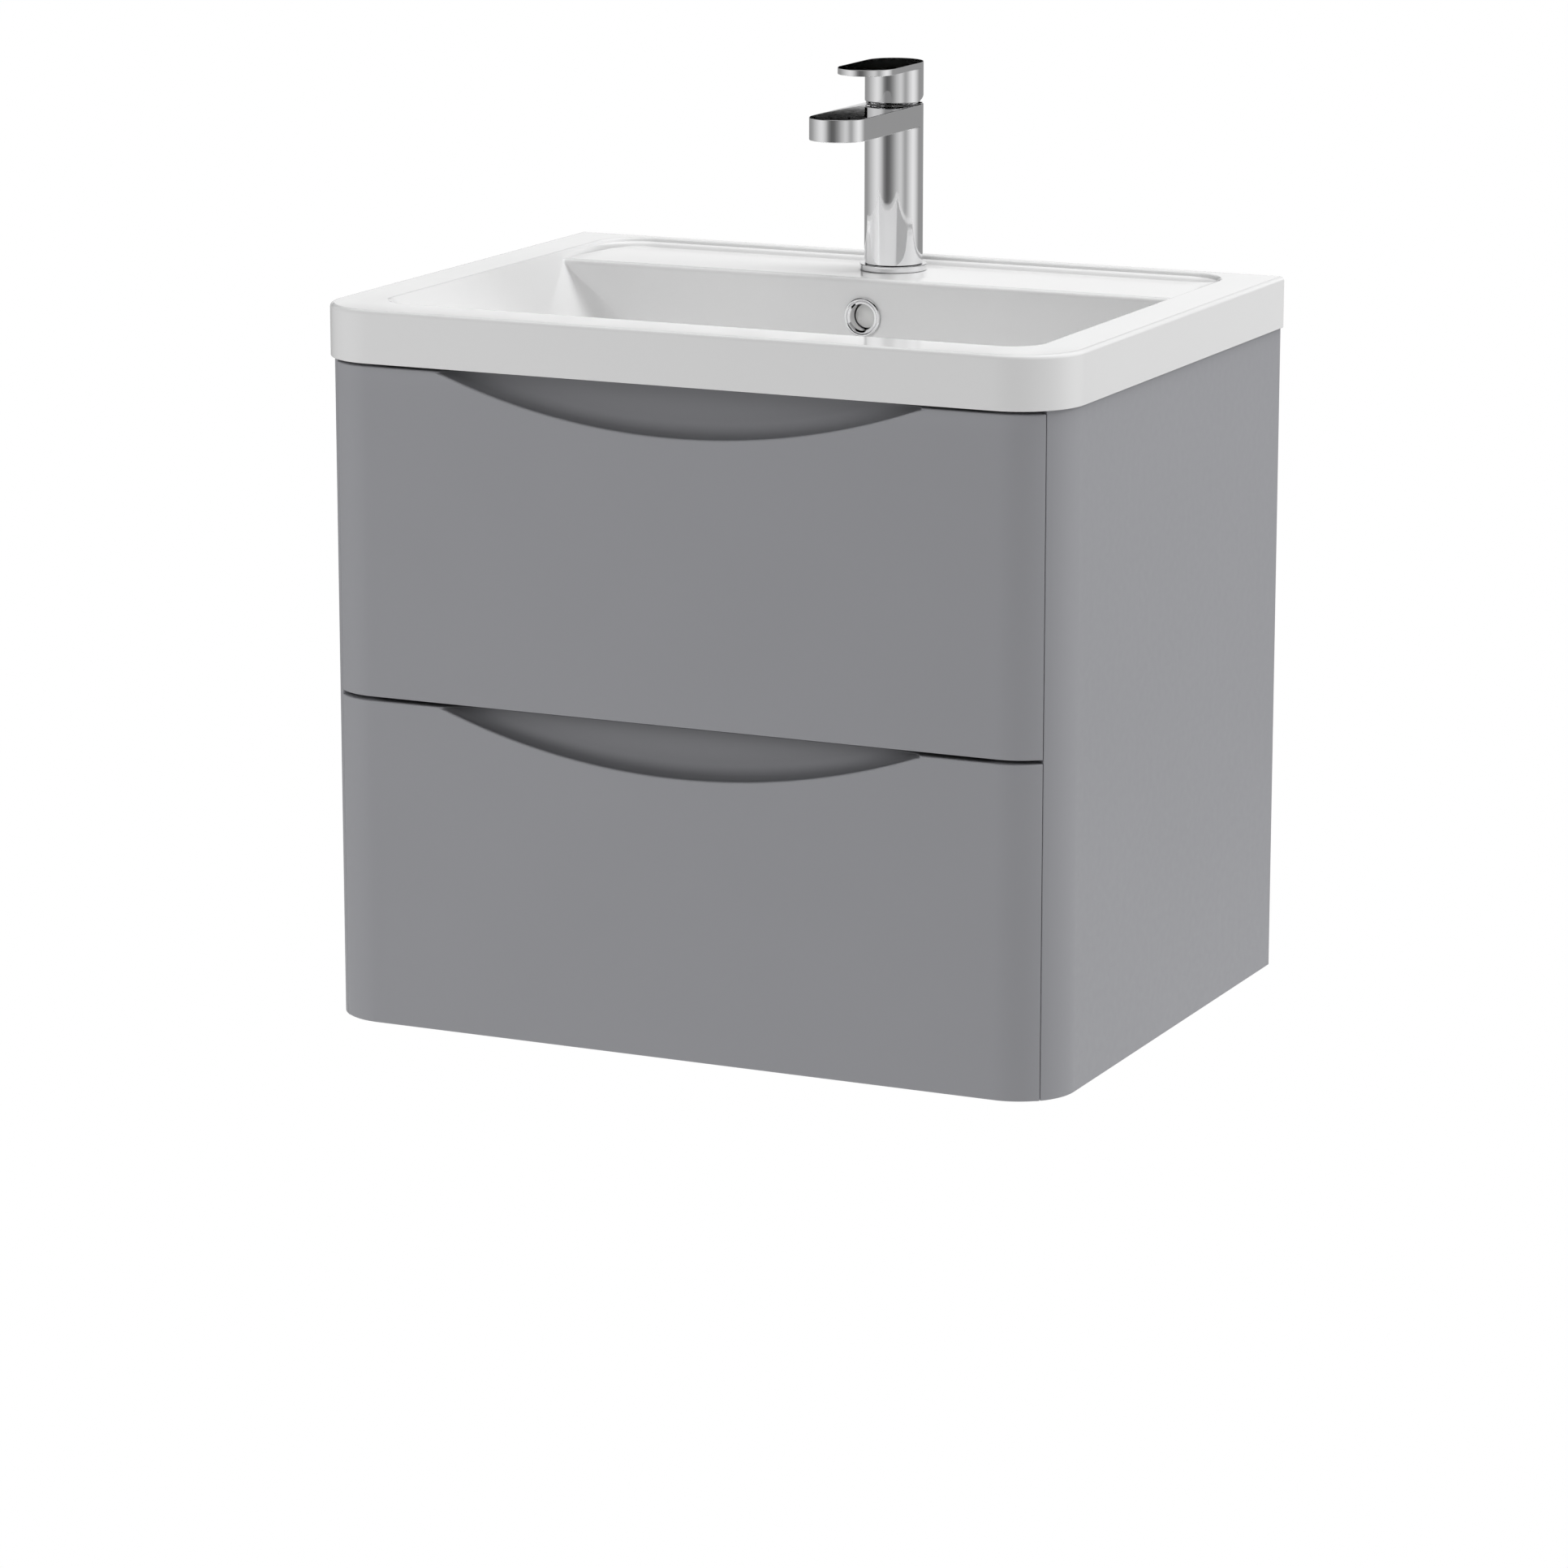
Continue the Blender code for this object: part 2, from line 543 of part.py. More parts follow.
# ------------------------------------------------------------------------ waste
def waste_fittings(plug_parent):
    """Slotted waste: flanged tube with a cross bar that guides the pop-up plug."""
    centre = (0, WASTE_Y, FLOOR_Z)
    tube_out, tube_in = WASTE_TUBE, 0.0180
    tube_low = -WASTE_TUBE_LENGTH
    profile = [(tube_in, tube_low), (tube_out, tube_low), (tube_out, -0.0022), (0.0320, -0.0022)]
    profile += [(0.0320, -0.0005), (0.0300, 0.0008), (0.0215, 0.0002), (tube_in, -0.0035)]
    tube = make_object("waste_flange", lathe(profile, centre), CHROME)
    bar = block((-0.0192, 0.0192), (WASTE_Y - 0.0025, WASTE_Y + 0.0025), (FLOOR_Z - 0.037, FLOOR_Z - 0.031))
    guide_bar = make_object("waste_guide_bar", bar, None)
    hub = make_object("waste_guide_hub", lathe(rod_profile(0.0075, -0.039, -0.029), centre, 20), None)
    bore = make_object("waste_guide_bore", lathe(rod_profile(0.0042, -0.040, -0.015), centre, 20), None)
    slot_z = (DUCT_BOSS_Z + 0.003, DUCT_BOSS_Z + 0.013)
    slot_shape = block((-0.007, 0.007), (WASTE_Y + 0.010, WASTE_Y + 0.030), slot_z)
    slot = make_object("waste_slot", slot_shape, None)
    cut(tube, slot)
    join(tube, guide_bar, hub)
    round_off(cut(tube, bore))

    plug = [(0, -0.045), (0.0039, -0.045), (0.0039, -0.0012), (0.0150, -0.0012), (0.0170, 0.0010)]
    plug += [(0.0290, 0.0012), (0.0290, 0.0022), (0.0260, 0.0042), (0.0140, 0.0060), (0, 0.0064)]
    round_off(make_object("waste_plug", lathe(plug, centre), CHROME, plug_parent))

    under = DUCT_BOSS_Z - FLOOR_Z
    seal = tube_profile(tube_out + GAP, 0.0300, under - GAP - 0.003, under - GAP)
    round_off(make_object("waste_seal", lathe(seal, centre), RUBBER))
    nut_top = under - 2 * GAP - 0.003
    nut = hex_nut(tube_out + GAP, 0.056, nut_top - 0.007, nut_top, Vector(centre))
    round_off(make_object("waste_backnut", nut, CHROME))


def bottle_trap():
    """Inlet nut, bottle, screw-on cup and the outlet to the wall."""
    tube_end = FLOOR_Z - WASTE_TUBE_LENGTH
    centre = (0, WASTE_Y, tube_end)
    nut = tube_profile(WASTE_TUBE + GAP, 0.0275, 0.006, 0.024)
    round_off(make_object("trap_inlet_nut", lathe(nut, centre, 24), WHITE_PLASTIC))
    bottle = [(0.0150, -0.0005), (0.0208, -0.0005), (0.0208, 0.0057), (0.0285, 0.0057), (0.0285, -0.004)]
    bottle += [(0.0300, -0.010), (0.0300, -0.068), (0.0275, -0.068), (0.0275, -0.012), (0.0150, -0.0035)]
    body = make_object("trap_bottle", lathe(bottle, centre, 28), WHITE_PLASTIC)
    turn = Matrix.Rotation(math.radians(-90), 4, "X")
    port_centre = (0, WASTE_Y, tube_end - TRAP_OUTLET_DROP)
    port = lathe(rod_profile(OUTLET_STUB, 0.0285, 0.050), port_centre, 24, turn)
    port_stub = make_object("trap_port_stub", port, None)
    port_bore = lathe(rod_profile(0.0145, 0.020, 0.060), port_centre, 24, turn)
    port_hole = make_object("trap_port_hole", port_bore, None)
    join(body, port_stub)
    round_off(cut(body, port_hole))

    cup = [(0, -0.086), (0.0270, -0.086), (0.0325, -0.080), (0.0325, -0.060)]
    cup += [(0.0300 + GAP, -0.060), (0.0300 + GAP, -0.068 - GAP), (0.0265, -0.0795), (0, -0.0825)]
    round_off(make_object("trap_cup", lathe(cup, centre, 28), WHITE_PLASTIC))

    nut_profile = tube_profile(OUTLET_STUB + GAP, 0.0245, 0.038, 0.054)
    round_off(make_object("trap_outlet_nut", lathe(nut_profile, port_centre, 24, turn), WHITE_PLASTIC))
    reach = -WASTE_Y
    pipe = tube_profile(0.0130, OUTLET_PIPE, 0.0500 + GAP, reach)
    round_off(make_object("trap_outlet_pipe", lathe(pipe, port_centre, 24, turn), WHITE_PLASTIC))
    bore = OUTLET_PIPE + GAP
    rose = [(bore, reach - 0.007), (0.0230, reach - 0.006), (0.0340, reach - 0.002)]
    rose += [(0.0340, reach), (bore, reach)]
    round_off(make_object("wall_flange", lathe(rose, port_centre, 28, turn), CHROME))


# -------------------------------------------------------------------------- tap
def tap_body_and_spout():
    centre = (0, TAP_Y, RIM_Z)
    ring = tube_profile(0.0180, 0.0264, -DECK_DROP + GAP, 0.0)
    round_off(make_object("tap_base_ring", lathe(ring, centre), CHROME))

    column = lathe(rod_profile(TAP_RADIUS, GAP, SPOUT_TOP - SPOUT_THICK + 0.002), centre, 32)
    body = make_object("tap_body", column, CHROME)
    bar = prism(stadium_outline(TAP_RADIUS, TAP_Y - SPOUT_REACH, TAP_Y),
                RIM_Z + SPOUT_TOP - SPOUT_THICK, RIM_Z + SPOUT_TOP)
    spout = make_object("tap_spout_bar", bar, None)
    shank = make_object("tap_shank", lathe(rod_profile(0.0165, -0.032, 0.010), centre, 28), None)
    chamber = make_object("tap_cartridge_bore", lathe(rod_profile(0.0160, 0.086, 0.140), centre, 28), None)
    outlet_centre = (0, TAP_Y - SPOUT_REACH, RIM_Z + SPOUT_TOP - SPOUT_THICK)
    outlet_bore = lathe(rod_profile(0.0120, -0.010, 0.010), outlet_centre, 28)
    outlet = make_object("tap_outlet_bore", outlet_bore, None)
    stud_bore = make_object("tap_stud_bore", lathe(rod_profile(0.0053, -0.050, -0.012), centre, 16), None)
    join(body, spout, shank)
    round_off(cut(body, chamber, outlet, stud_bore))

    insert = [(0.0080, 0.0004), (0.0117, 0.0004), (0.0117, 0.0094), (0.0080, 0.0094)]
    round_off(make_object("tap_aerator", lathe(insert, outlet_centre, 28), CHROME))


def tap_cartridge(turn_parent):
    centre = (0, TAP_Y, RIM_Z)
    body = [(0, 0.0863), (0.0155, 0.0863), (0.0155, 0.1190), (0.0090, 0.1190)]
    body += [(0.0090, 0.1120), (0, 0.1120)]
    round_off(make_object("tap_cartridge", lathe(body, centre, 28), WHITE_PLASTIC))
    collar = [(0.0100, SPOUT_TOP + GAP), (0.0190, SPOUT_TOP + GAP), (0.0174, SPOUT_TOP + 0.0022)]
    collar += [(0.0168, SPOUT_TOP + 0.0055), (0.0100, SPOUT_TOP + 0.0065)]
    round_off(make_object("tap_cartridge_nut", lathe(collar, centre, 28), CHROME))
    rotor = rod_profile(0.0086, 0.1123, 0.1232)
    round_off(make_object("tap_rotor", lathe(rotor, centre, 24), WHITE_PLASTIC, turn_parent))


def tap_lever(parent):
    """The handle: a short cylinder under a flat blade; its rear foot is cut at a slope."""
    centre = (0, TAP_Y, RIM_Z)
    cap = lathe(rod_profile(TAP_RADIUS, LEVER_BOTTOM, LEVER_CAP_TOP + 0.002), centre, 32)
    handle = make_object("tap_lever", cap, CHROME, parent)
    blade = prism(stadium_outline(TAP_RADIUS, TAP_Y - LEVER_REACH, TAP_Y),
                  RIM_Z + LEVER_CAP_TOP, RIM_Z + LEVER_TOP)
    blade_shape = make_object("tap_lever_blade", blade, None, parent)
    start_y = TAP_Y - 0.004
    end_y = TAP_Y + 0.030
    foot_z = RIM_Z + LEVER_BOTTOM
    rise = (end_y - start_y) * math.tan(LEVER_RELIEF)
    low = foot_z - 0.004
    outline = [(start_y, foot_z), (start_y, low), (end_y, low), (end_y, foot_z + rise)]
    wedge = prism(outline, -0.030, 0.030, "X")
    relief = make_object("tap_lever_relief", wedge, None, parent)
    inside = lathe(rod_profile(0.0204, 0.115, 0.1400), centre, 28)
    skirt = make_object("tap_lever_skirt", inside, None, parent)
    join(handle, blade_shape)
    round_off(cut(handle, relief, skirt))
    half = 0.0035
    stem = block((-half, half), (TAP_Y - half, TAP_Y + half), (RIM_Z + 0.1250, RIM_Z + 0.1400 - GAP))
    make_object("tap_stem", stem, BRASS, parent)


def tap_fixings():
    """The stud, seal, clamp plate and nut that hold the tap to the basin's deck."""
    centre = (0, TAP_Y, RIM_Z)
    round_off(make_object("tap_stud", lathe(rod_profile(0.0050, -0.085, -0.0125), centre, 16), BRASS))
    under = -BASIN_PLATE - GAP
    seal = tube_profile(0.0168, 0.0265, under - 0.003, under)
    round_off(make_object("tap_fixing_seal", lathe(seal, centre, 28), RUBBER))
    plate_top = -0.032 - GAP
    plate = tube_profile(0.0053, 0.0260, plate_top - 0.003, plate_top)
    spacer = tube_profile(0.0168, 0.0250, plate_top + GAP, under - 0.003 - GAP)
    round_off(make_object("tap_fixing_spacer", lathe(spacer, centre, 28), WHITE_PLASTIC))
    round_off(make_object("tap_fixing_plate", lathe(plate, centre, 28), STEEL))
    nut_top = plate_top - 0.003 - GAP
    nut = hex_nut(0.0053, 0.017, nut_top - 0.010, nut_top, Vector(centre))
    round_off(make_object("tap_fixing_nut", nut, BRASS))


# --------------------------------------------------------------------- assembly
def build():
    clear_scene()
    upper = joint_empty("upper_drawer_frame", (0, FACE_Y, sum(UPPER_BOX) / 2))
    upper_slider = joint_empty("upper_runner_frame", (0, FACE_Y, sum(UPPER_BOX) / 2))
    lower = joint_empty("lower_drawer_frame", (0, FACE_Y, sum(LOWER_BOX) / 2))
    lower_slider = joint_empty("lower_runner_frame", (0, FACE_Y, sum(LOWER_BOX) / 2))
    lever_turn = joint_empty("tap_turn_frame", (0, TAP_Y, RIM_Z + LEVER_BOTTOM))
    lever_lift = joint_empty("tap_lift_frame", (0, TAP_Y, RIM_Z + LEVER_BOTTOM))
    plug_slide = joint_empty("waste_plug_frame", (0, WASTE_Y, FLOOR_Z))

    for word, side in (("left", -1), ("right", 1)):
        side_panel("side_panel_" + word, side)
        wall_bracket("wall_bracket_" + word, side)
        runner("upper", word, side, sum(UPPER_BOX) / 2, upper, upper_slider)
        runner("lower", word, side, sum(LOWER_BOX) / 2, lower, lower_slider)
    rails_and_base()
    upper_drawer(upper)
    lower_drawer(lower)
    basin()
    overflow_ring()
    waste_fittings(plug_slide)
    bottle_trap()
    tap_body_and_spout()
    tap_cartridge(lever_turn)
    tap_lever(lever_lift)
    tap_fixings()


build()
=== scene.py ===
"""Looks of the wall-hung bathroom vanity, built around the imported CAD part.

Metres, +Z up.  The wall is the plane Y = 0, the front faces -Y and the basin's rim is
at Z = RIM.  Every detailed piece rides on the body of the CAD node that it stands for.
"""
import json
import math

import bmesh
import bpy
from mathutils import Matrix, Vector


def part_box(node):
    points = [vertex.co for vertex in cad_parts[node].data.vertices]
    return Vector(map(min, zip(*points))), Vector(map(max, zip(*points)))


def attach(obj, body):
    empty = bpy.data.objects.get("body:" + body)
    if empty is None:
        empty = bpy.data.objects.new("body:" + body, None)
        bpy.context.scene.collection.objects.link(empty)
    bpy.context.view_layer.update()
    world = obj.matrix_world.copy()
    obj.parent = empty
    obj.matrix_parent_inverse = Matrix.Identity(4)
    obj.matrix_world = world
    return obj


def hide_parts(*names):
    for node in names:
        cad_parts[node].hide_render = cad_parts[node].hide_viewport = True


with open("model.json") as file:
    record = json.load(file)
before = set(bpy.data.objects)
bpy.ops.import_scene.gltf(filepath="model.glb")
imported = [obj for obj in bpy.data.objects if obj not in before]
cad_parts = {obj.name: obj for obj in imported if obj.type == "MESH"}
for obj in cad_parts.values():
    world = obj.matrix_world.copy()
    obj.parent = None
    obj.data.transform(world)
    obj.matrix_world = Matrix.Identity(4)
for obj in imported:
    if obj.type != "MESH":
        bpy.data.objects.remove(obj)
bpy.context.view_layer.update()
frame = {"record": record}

# ---- sizes, in metres
RIM = 0.095  # height of the basin's top
HALF_BASIN, BASIN_FRONT, BASIN_BOTTOM = 0.3025, -0.456, 0.055
BASIN_CORNER = 0.050
BOWL_HALF, BOWL_FRONT, BOWL_BACK = 0.2655, -0.415, -0.118
BOWL_CORNER = 0.028
BOWL_DEPTH = 0.112
BOWL_WALL = 0.013
BOWL_ROUND = 0.021  # radius between the bowl's walls and its floor
SIDE_SLOPE, FRONT_SLOPE, BACK_SLOPE = 0.766, 0.58, 0.018  # run over drop
DECK_DROP = 0.005
WALL_DROP = 0.0028  # where the short wall below the rim turns into a cove
DECK_BACK, DECK_CORNER = -0.012, 0.035
WASTE_Y = -0.241
FLOOR = RIM - BOWL_DEPTH
DUCT_BOTTOM = -0.044
OVERFLOW_DROP = 0.035

HALF, INNER, CORNER = 0.300, 0.282, 0.045
FACE, FACE_BACK = -0.4505, -0.4325
CABINET_TOP, CABINET_BOTTOM = 0.055, -0.4526
FRONT_HEIGHT, FRONT_GAP = 0.2508, 0.003
SMILE_RADIUS, SMILE_DROP, SMILE_DEPTH = 0.560, 0.036, 0.0145  # the finger recess
SEAM = 0.0005

TAP_Y, TAP_RADIUS = -0.0605, 0.0228
SPOUT_REACH, SPOUT_LOW, SPOUT_HIGH = 0.1033, 0.1075, 0.1248
LEVER_REACH, LEVER_LOW, CAP_TOP, LEVER_HIGH = 0.0510, 0.1265, 0.1525, 0.1575
TRAP_Z = FLOOR - 0.075
OUTLET_Z = TRAP_Z - 0.040

GROUND = -0.95  # height of the studio's floor
FLOOR_BOUNCE = 0.82  # light sent up by it
SKY = {  # strength, direction, cosines where it starts and is full
    "high": (5.3, (0.18, 0.33, 0.90), 0.88, 0.97),
    "front": (2.65, (0, -0.8, 0.6), 0.88, 0.97),
}
SOFTBOXES = {  # azimuth in degrees from the front, height, watts
    "right_softbox": (110, 2.2, 95),
    "left_softbox": (-60, 0.0, 21.6),
}

RECORD = frame["record"]
BODY_OF = {n: body for body, names in RECORD["behaviour"]["bodies"].items() for n in names}
SLOT_OF = {row["node"]: row["material_slot"] for row in RECORD["subparts"]}
SIDES = (("left", -1), ("right", 1))
DRAWERS = ("upper", "lower")
TO_FRONT = Matrix.Rotation(math.radians(90), 4, "X")  # turn +Z to the front
TO_WALL = Matrix.Rotation(math.radians(-90), 4, "X")


# ---- materials
def add_node(tree, kind, inputs=(), **settings):
    """A node with its settings, and its inputs set to values or linked to sockets."""
    node = tree.nodes.new(kind)
    for key, value in settings.items():
        setattr(node, key, value)
    for key, value in dict(inputs).items():
        if isinstance(value, bpy.types.NodeSocket):
            tree.links.new(value, node.inputs[key])
        else:
            node.inputs[key].default_value = value
    return node


class Nodes:
    """A short way to add shader nodes to a material and wire them."""

    def __init__(self, name):
        self.material = bpy.data.materials.new(name)
        self.material.use_nodes = True
        self.tree = self.material.node_tree
        self.shader = self.tree.nodes["Principled BSDF"]
        self.where = self.tree.nodes.new("ShaderNodeTexCoord").outputs["Object"]
        self.normal = None

    def add(self, kind, inputs=(), **settings):
        return add_node(self.tree, kind, inputs, **settings)

    def axes(self):
        return self.add("ShaderNodeSeparateXYZ", {"Vector": self.where}).outputs

    def calculate(self, operation, *values):
        return self.add("ShaderNodeMath", dict(enumerate(values)), operation=operation).outputs[0]

    def noise(self, scale, detail=2.0, stretch=(1, 1, 1), rough=0.5):
        placed = self.add("ShaderNodeMapping", {"Vector": self.where, "Scale": stretch})
        made = self.add("ShaderNodeTexNoise", {
            "Vector": placed.outputs[0], "Scale": scale, "Detail": detail, "Roughness": rough})
        return made.outputs["Fac"]

    def spread(self, value, low, high, start=0.3, end=0.7):
        made = self.add("ShaderNodeMapRange", {
            "Value": value, "From Min": start, "From Max": end, "To Min": low, "To Max": high})
        return made.outputs[0]

    def mix(self, value, low, high):
        made = self.add("ShaderNodeMix", {0: value, 6: (*low, 1), 7: (*high, 1)}, data_type="RGBA")
        return made.outputs[2]

    def paint(self, tone):
        self.tree.links.new(tone, self.shader.inputs["Base Color"])

    def colour(self, value, low, high):
        self.paint(self.mix(value, low, high))

    def rough(self, value, low, high):
        self.tree.links.new(self.spread(value, low, high), self.shader.inputs["Roughness"])

    def bump(self, value, distance, strength):
        """A bump on top of those that are there."""
        inputs = {"Height": value, "Distance": distance, "Strength": strength}
        if self.normal is not None:
            inputs["Normal"] = self.normal
        self.normal = self.add("ShaderNodeBump", inputs).outputs[0]
        self.tree.links.new(self.normal, self.shader.inputs["Normal"])

    def set(self, **values):
        for key, value in values.items():
            self.shader.inputs[key].default_value = value
        return self.material


def lacquer(name="lacquered_board", painted_recess_shade=1.0):
    """Satin lacquer; with the second argument below 1, the colour in the scoop of a finger recess is darkened
    to that share as painted shade.
    """
    m = Nodes(name)
    tone = m.mix(m.noise(9, 3), (0.298, 0.300, 0.318), (0.309, 0.311, 0.330))
    if painted_recess_shade < 1.0:  # painted shade in the finger recess's scoop, told by the depth behind the front's face, lighter on the flat back and kept off the rounded ends
        place = m.axes()
        inside = m.spread(place[1], 0, 1, FACE + 0.0008, FACE + 0.0030)
        flat_back = m.spread(place[1], 0, 0.35, FACE + 0.0090, FACE + 0.0140)
        scoop = m.calculate("SUBTRACT", inside, flat_back)
        between_ends = m.spread(m.calculate("ABSOLUTE", place[0]), 1, 0, HALF - CORNER - 0.010, HALF - CORNER)
        fade = m.spread(m.calculate("MULTIPLY", scoop, between_ends), 1.0, painted_recess_shade, 0, 1)
        tone = m.add("ShaderNodeVectorMath", {0: tone, "Scale": fade}, operation="SCALE").outputs[0]
    m.paint(tone)
    m.rough(m.noise(140, 3), 0.40, 0.48)
    m.bump(m.noise(420, 2), 0.00004, 0.25)
    m.bump(m.noise(1900, 2), 0.00002, 0.25)
    return m.set(IOR=1.46)


def laminate():
    m = Nodes("box_laminate")
    m.colour(m.noise(240, 4, (1, 0.08, 1), 0.6), (0.605, 0.605, 0.615), (0.630, 0.630, 0.640))
    m.rough(m.noise(300, 3, (1, 0.1, 1)), 0.42, 0.56)
    m.bump(m.noise(700, 4, (1, 0.05, 1), 0.7), 0.00006, 0.5)
    return m.set()


def glaze():
    m = Nodes("basin_glaze")
    m.colour(m.noise(14, 4), (0.745, 0.745, 0.747), (0.762, 0.762, 0.761))
    m.rough(m.noise(35, 4), 0.045, 0.085)
    m.bump(m.noise(22, 1), 0.00025, 0.10)
    m.bump(m.noise(900, 2), 0.00001, 0.12)
    return m.set(IOR=1.5)


def chrome():
    m = Nodes("chrome")
    m.colour(m.noise(40, 3), (0.80, 0.80, 0.81), (0.83, 0.83, 0.835))
    m.rough(m.noise(500, 5, (1, 1, 0.05), 0.7), 0.025, 0.06)
    m.bump(m.noise(60, 2), 0.00006, 0.10)
    return m.set(Metallic=1.0)


def zinc():
    m = Nodes("zinc_steel")
    cells = m.add("ShaderNodeTexVoronoi", {"Vector": m.where, "Scale": 260.0})
    m.colour(m.spread(cells.outputs["Color"], 0, 1, 0.2, 0.8), (0.50, 0.51, 0.53), (0.64, 0.65, 0.67))
    m.rough(m.noise(900, 4, (1, 0.03, 1), 0.7), 0.26, 0.42)
    m.bump(m.noise(1200, 4, (1, 0.03, 1), 0.7), 0.00003, 0.4)
    return m.set(Metallic=1.0)


def brass():
    m = Nodes("brass")
    m.colour(m.noise(120, 5), (0.58, 0.42, 0.18), (0.68, 0.51, 0.24))
    m.rough(m.noise(700, 4, (1, 1, 0.2)), 0.24, 0.38)
    m.bump(m.noise(900, 3, (0.3, 0.3, 3)), 0.00004, 0.4)
    return m.set(Metallic=1.0)


def plastic():
    m = Nodes("white_plastic")
    m.colour(m.noise(45, 3), (0.78, 0.78, 0.765), (0.82, 0.82, 0.81))
    m.rough(m.noise(240, 3), 0.28, 0.40)
    m.bump(m.noise(1500, 2), 0.00003, 0.35)
    return m.set(IOR=1.49)


def rubber():
    m = Nodes("rubber_seal")
    m.colour(m.noise(200, 4), (0.028, 0.028, 0.028), (0.045, 0.045, 0.044))
    m.rough(m.noise(500, 3), 0.62, 0.82)
    m.bump(m.noise(1400, 3), 0.00006, 0.5)
    return m.set()


MATERIALS = {
    "lacquered_board": lacquer(),
    # the drawer fronts' lacquer, with painted shade darkening the finger recess's scoop to half
    "lacquered_front": lacquer("lacquered_front", 0.50),
    "box_laminate": laminate(),
    "basin_glaze": glaze(),
    "chrome": chrome(),
    "zinc_steel": zinc(),
    "brass": brass(),
    "white_plastic": plastic(),
    "rubber_seal": rubber(),
}


# ---- mesh tools
SHARP = 34.0  # degrees between faces above which an edge stays sharp


def link_object(name, data):
    item = bpy.data.objects.new(name, data)
    bpy.context.scene.collection.objects.link(item)
    return item


def mesh_object(name, shape, material=None):
    """An object made of a bmesh, which is freed."""
    mesh = bpy.data.meshes.new(name)
    shape.to_mesh(mesh)
    shape.free()
    if material is not None:
        mesh.materials.append(material)
    return link_object(name, mesh)


def closed_object(name, shape, material=None):
    """An object made of a closed bmesh, with its faces turned outward."""
    bmesh.ops.remove_doubles(shape, verts=shape.verts, dist=2e-7)
    bmesh.ops.recalc_face_normals(shape, faces=shape.faces)
    return mesh_object(name, shape, material)


def shade(item, sharp=SHARP):
    """Smooth bevels between flat faces."""
    item.data.shade_smooth()
    item.data.set_sharp_from_angle(angle=math.radians(sharp))
    modifier = item.modifiers.new("even_shading", "WEIGHTED_NORMAL")
    modifier.keep_sharp = True
    modifier.weight = 80
    return item


def extra(shape, name, slot, body="cabinet", sharp=SHARP, look=None):
    """A piece on a body; look is its finish where that isn't the slot's own."""
    item = shade(closed_object(name, shape, MATERIALS[look or slot]), sharp)
    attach(item, body)
    return item


def stand_in(shape, node, sharp=SHARP, look=None):
    """A detailed piece in the place of a CAD node, on its body and with its slot's finish."""
    item = extra(shape, node + "_detailed", SLOT_OF[node], BODY_OF[node], sharp, look)
    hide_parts(node)
    return item


def carve(item, *cutters):
    """Cut closed shapes out of an item for good, then drop the cutters."""
    item.modifiers.clear()
    tools = [closed_object(f"cutter_{number}", cutter) for number, cutter in enumerate(cutters)]
    for tool in tools:
        modifier = item.modifiers.new("cut", "BOOLEAN")
        modifier.operation = "DIFFERENCE"
        modifier.solver = "EXACT"
        modifier.object = tool
    bpy.context.view_layer.update()
    cut_item = item.evaluated_get(bpy.context.evaluated_depsgraph_get())
    result = bpy.data.meshes.new_from_object(cut_item)
    item.modifiers.clear()
    item.data = result
    for tool in tools:
        bpy.data.objects.remove(tool, do_unlink=True)
    return shade(item)


def quarter(steps):
    """(1 - sin, 1 - cos) at even steps over a quarter turn, both ends included."""
    turn = [math.pi / 2 * step / steps for step in range(steps + 1)]
    return [(1 - math.sin(a), 1 - math.cos(a)) for a in turn]


def arc(centre, radius, start, end, steps):
    """Points on an arc, angles in degrees, both ends included."""
    turn = [math.radians(start + (end - start) * step / steps) for step in range(steps + 1)]
    return [(centre[0] + radius * math.cos(a), centre[1] + radius * math.sin(a)) for a in turn]


def on_side(side, outline):
    """The outline as drawn for +X, or mirrored to -X."""
    return [(side * x, other) for x, other in outline]


def rectangle(low, high):
    return [(low[0], low[1]), (high[0], low[1]), (high[0], high[1]), (low[0], high[1])]


def rounded(points, radius, steps=3, closed=True, least=20.0):
    """Round each corner of an outline that turns by at least that many degrees."""
    made = []
    count = len(points)
    for number, point in enumerate(points):
        here = Vector(point)
        u, v = Vector(points[number - 1]) - here, Vector(points[(number + 1) % count]) - here
        turn = math.pi - u.angle(v)
        if turn < math.radians(least) or not closed and number in (0, count - 1):
            made.append(tuple(here))
            continue
        reach = min(radius * math.tan(turn / 2), 0.45 * u.length, 0.45 * v.length)
        size = reach / math.tan(turn / 2)
        u.normalize()
        v.normalize()
        middle = here + (u + v).normalized() * size / math.cos(turn / 2)
        first, last = here + u * reach - middle, here + v * reach - middle
        sign = 1 if first.cross(last) > 0 else -1
        begin = math.atan2(first.y, first.x)
        for step in range(steps + 1):
            angle = begin + sign * turn * step / steps
            made.append((middle.x + size * math.cos(angle), middle.y + size * math.sin(angle)))
    return made


def inward(points):
    """The outline run anticlockwise, with its inward mitre direction at each point."""
    area = sum(a[0] * b[1] - b[0] * a[1] for a, b in zip(points, points[1:] + points[:1]))
    if area < 0:
        points = points[::-1]
    directions = []
    for number, point in enumerate(points):
        here = Vector(point)
        u = (here - Vector(points[number - 1])).normalized()
        v = (Vector(points[(number + 1) % len(points)]) - here).normalized()
        a, b = Vector((-u.y, u.x)), Vector((-v.y, v.x))
        directions.append((a + b) / (1 + max(a.dot(b), -0.5)))
    return [Vector(p) for p in points], directions


def band(shape, lower, upper):
    """Join two loops of equal length by a band of faces."""
    for side in range(len(lower)):
        after = (side + 1) % len(lower)
        corners = (lower[side], lower[after], upper[after], upper[side])
        unique = list(dict.fromkeys(corners))
        if len(unique) > 2:
            shape.faces.new(unique)


def loop_of(shape, ring):
    return [shape.verts.new(point) for point in ring]


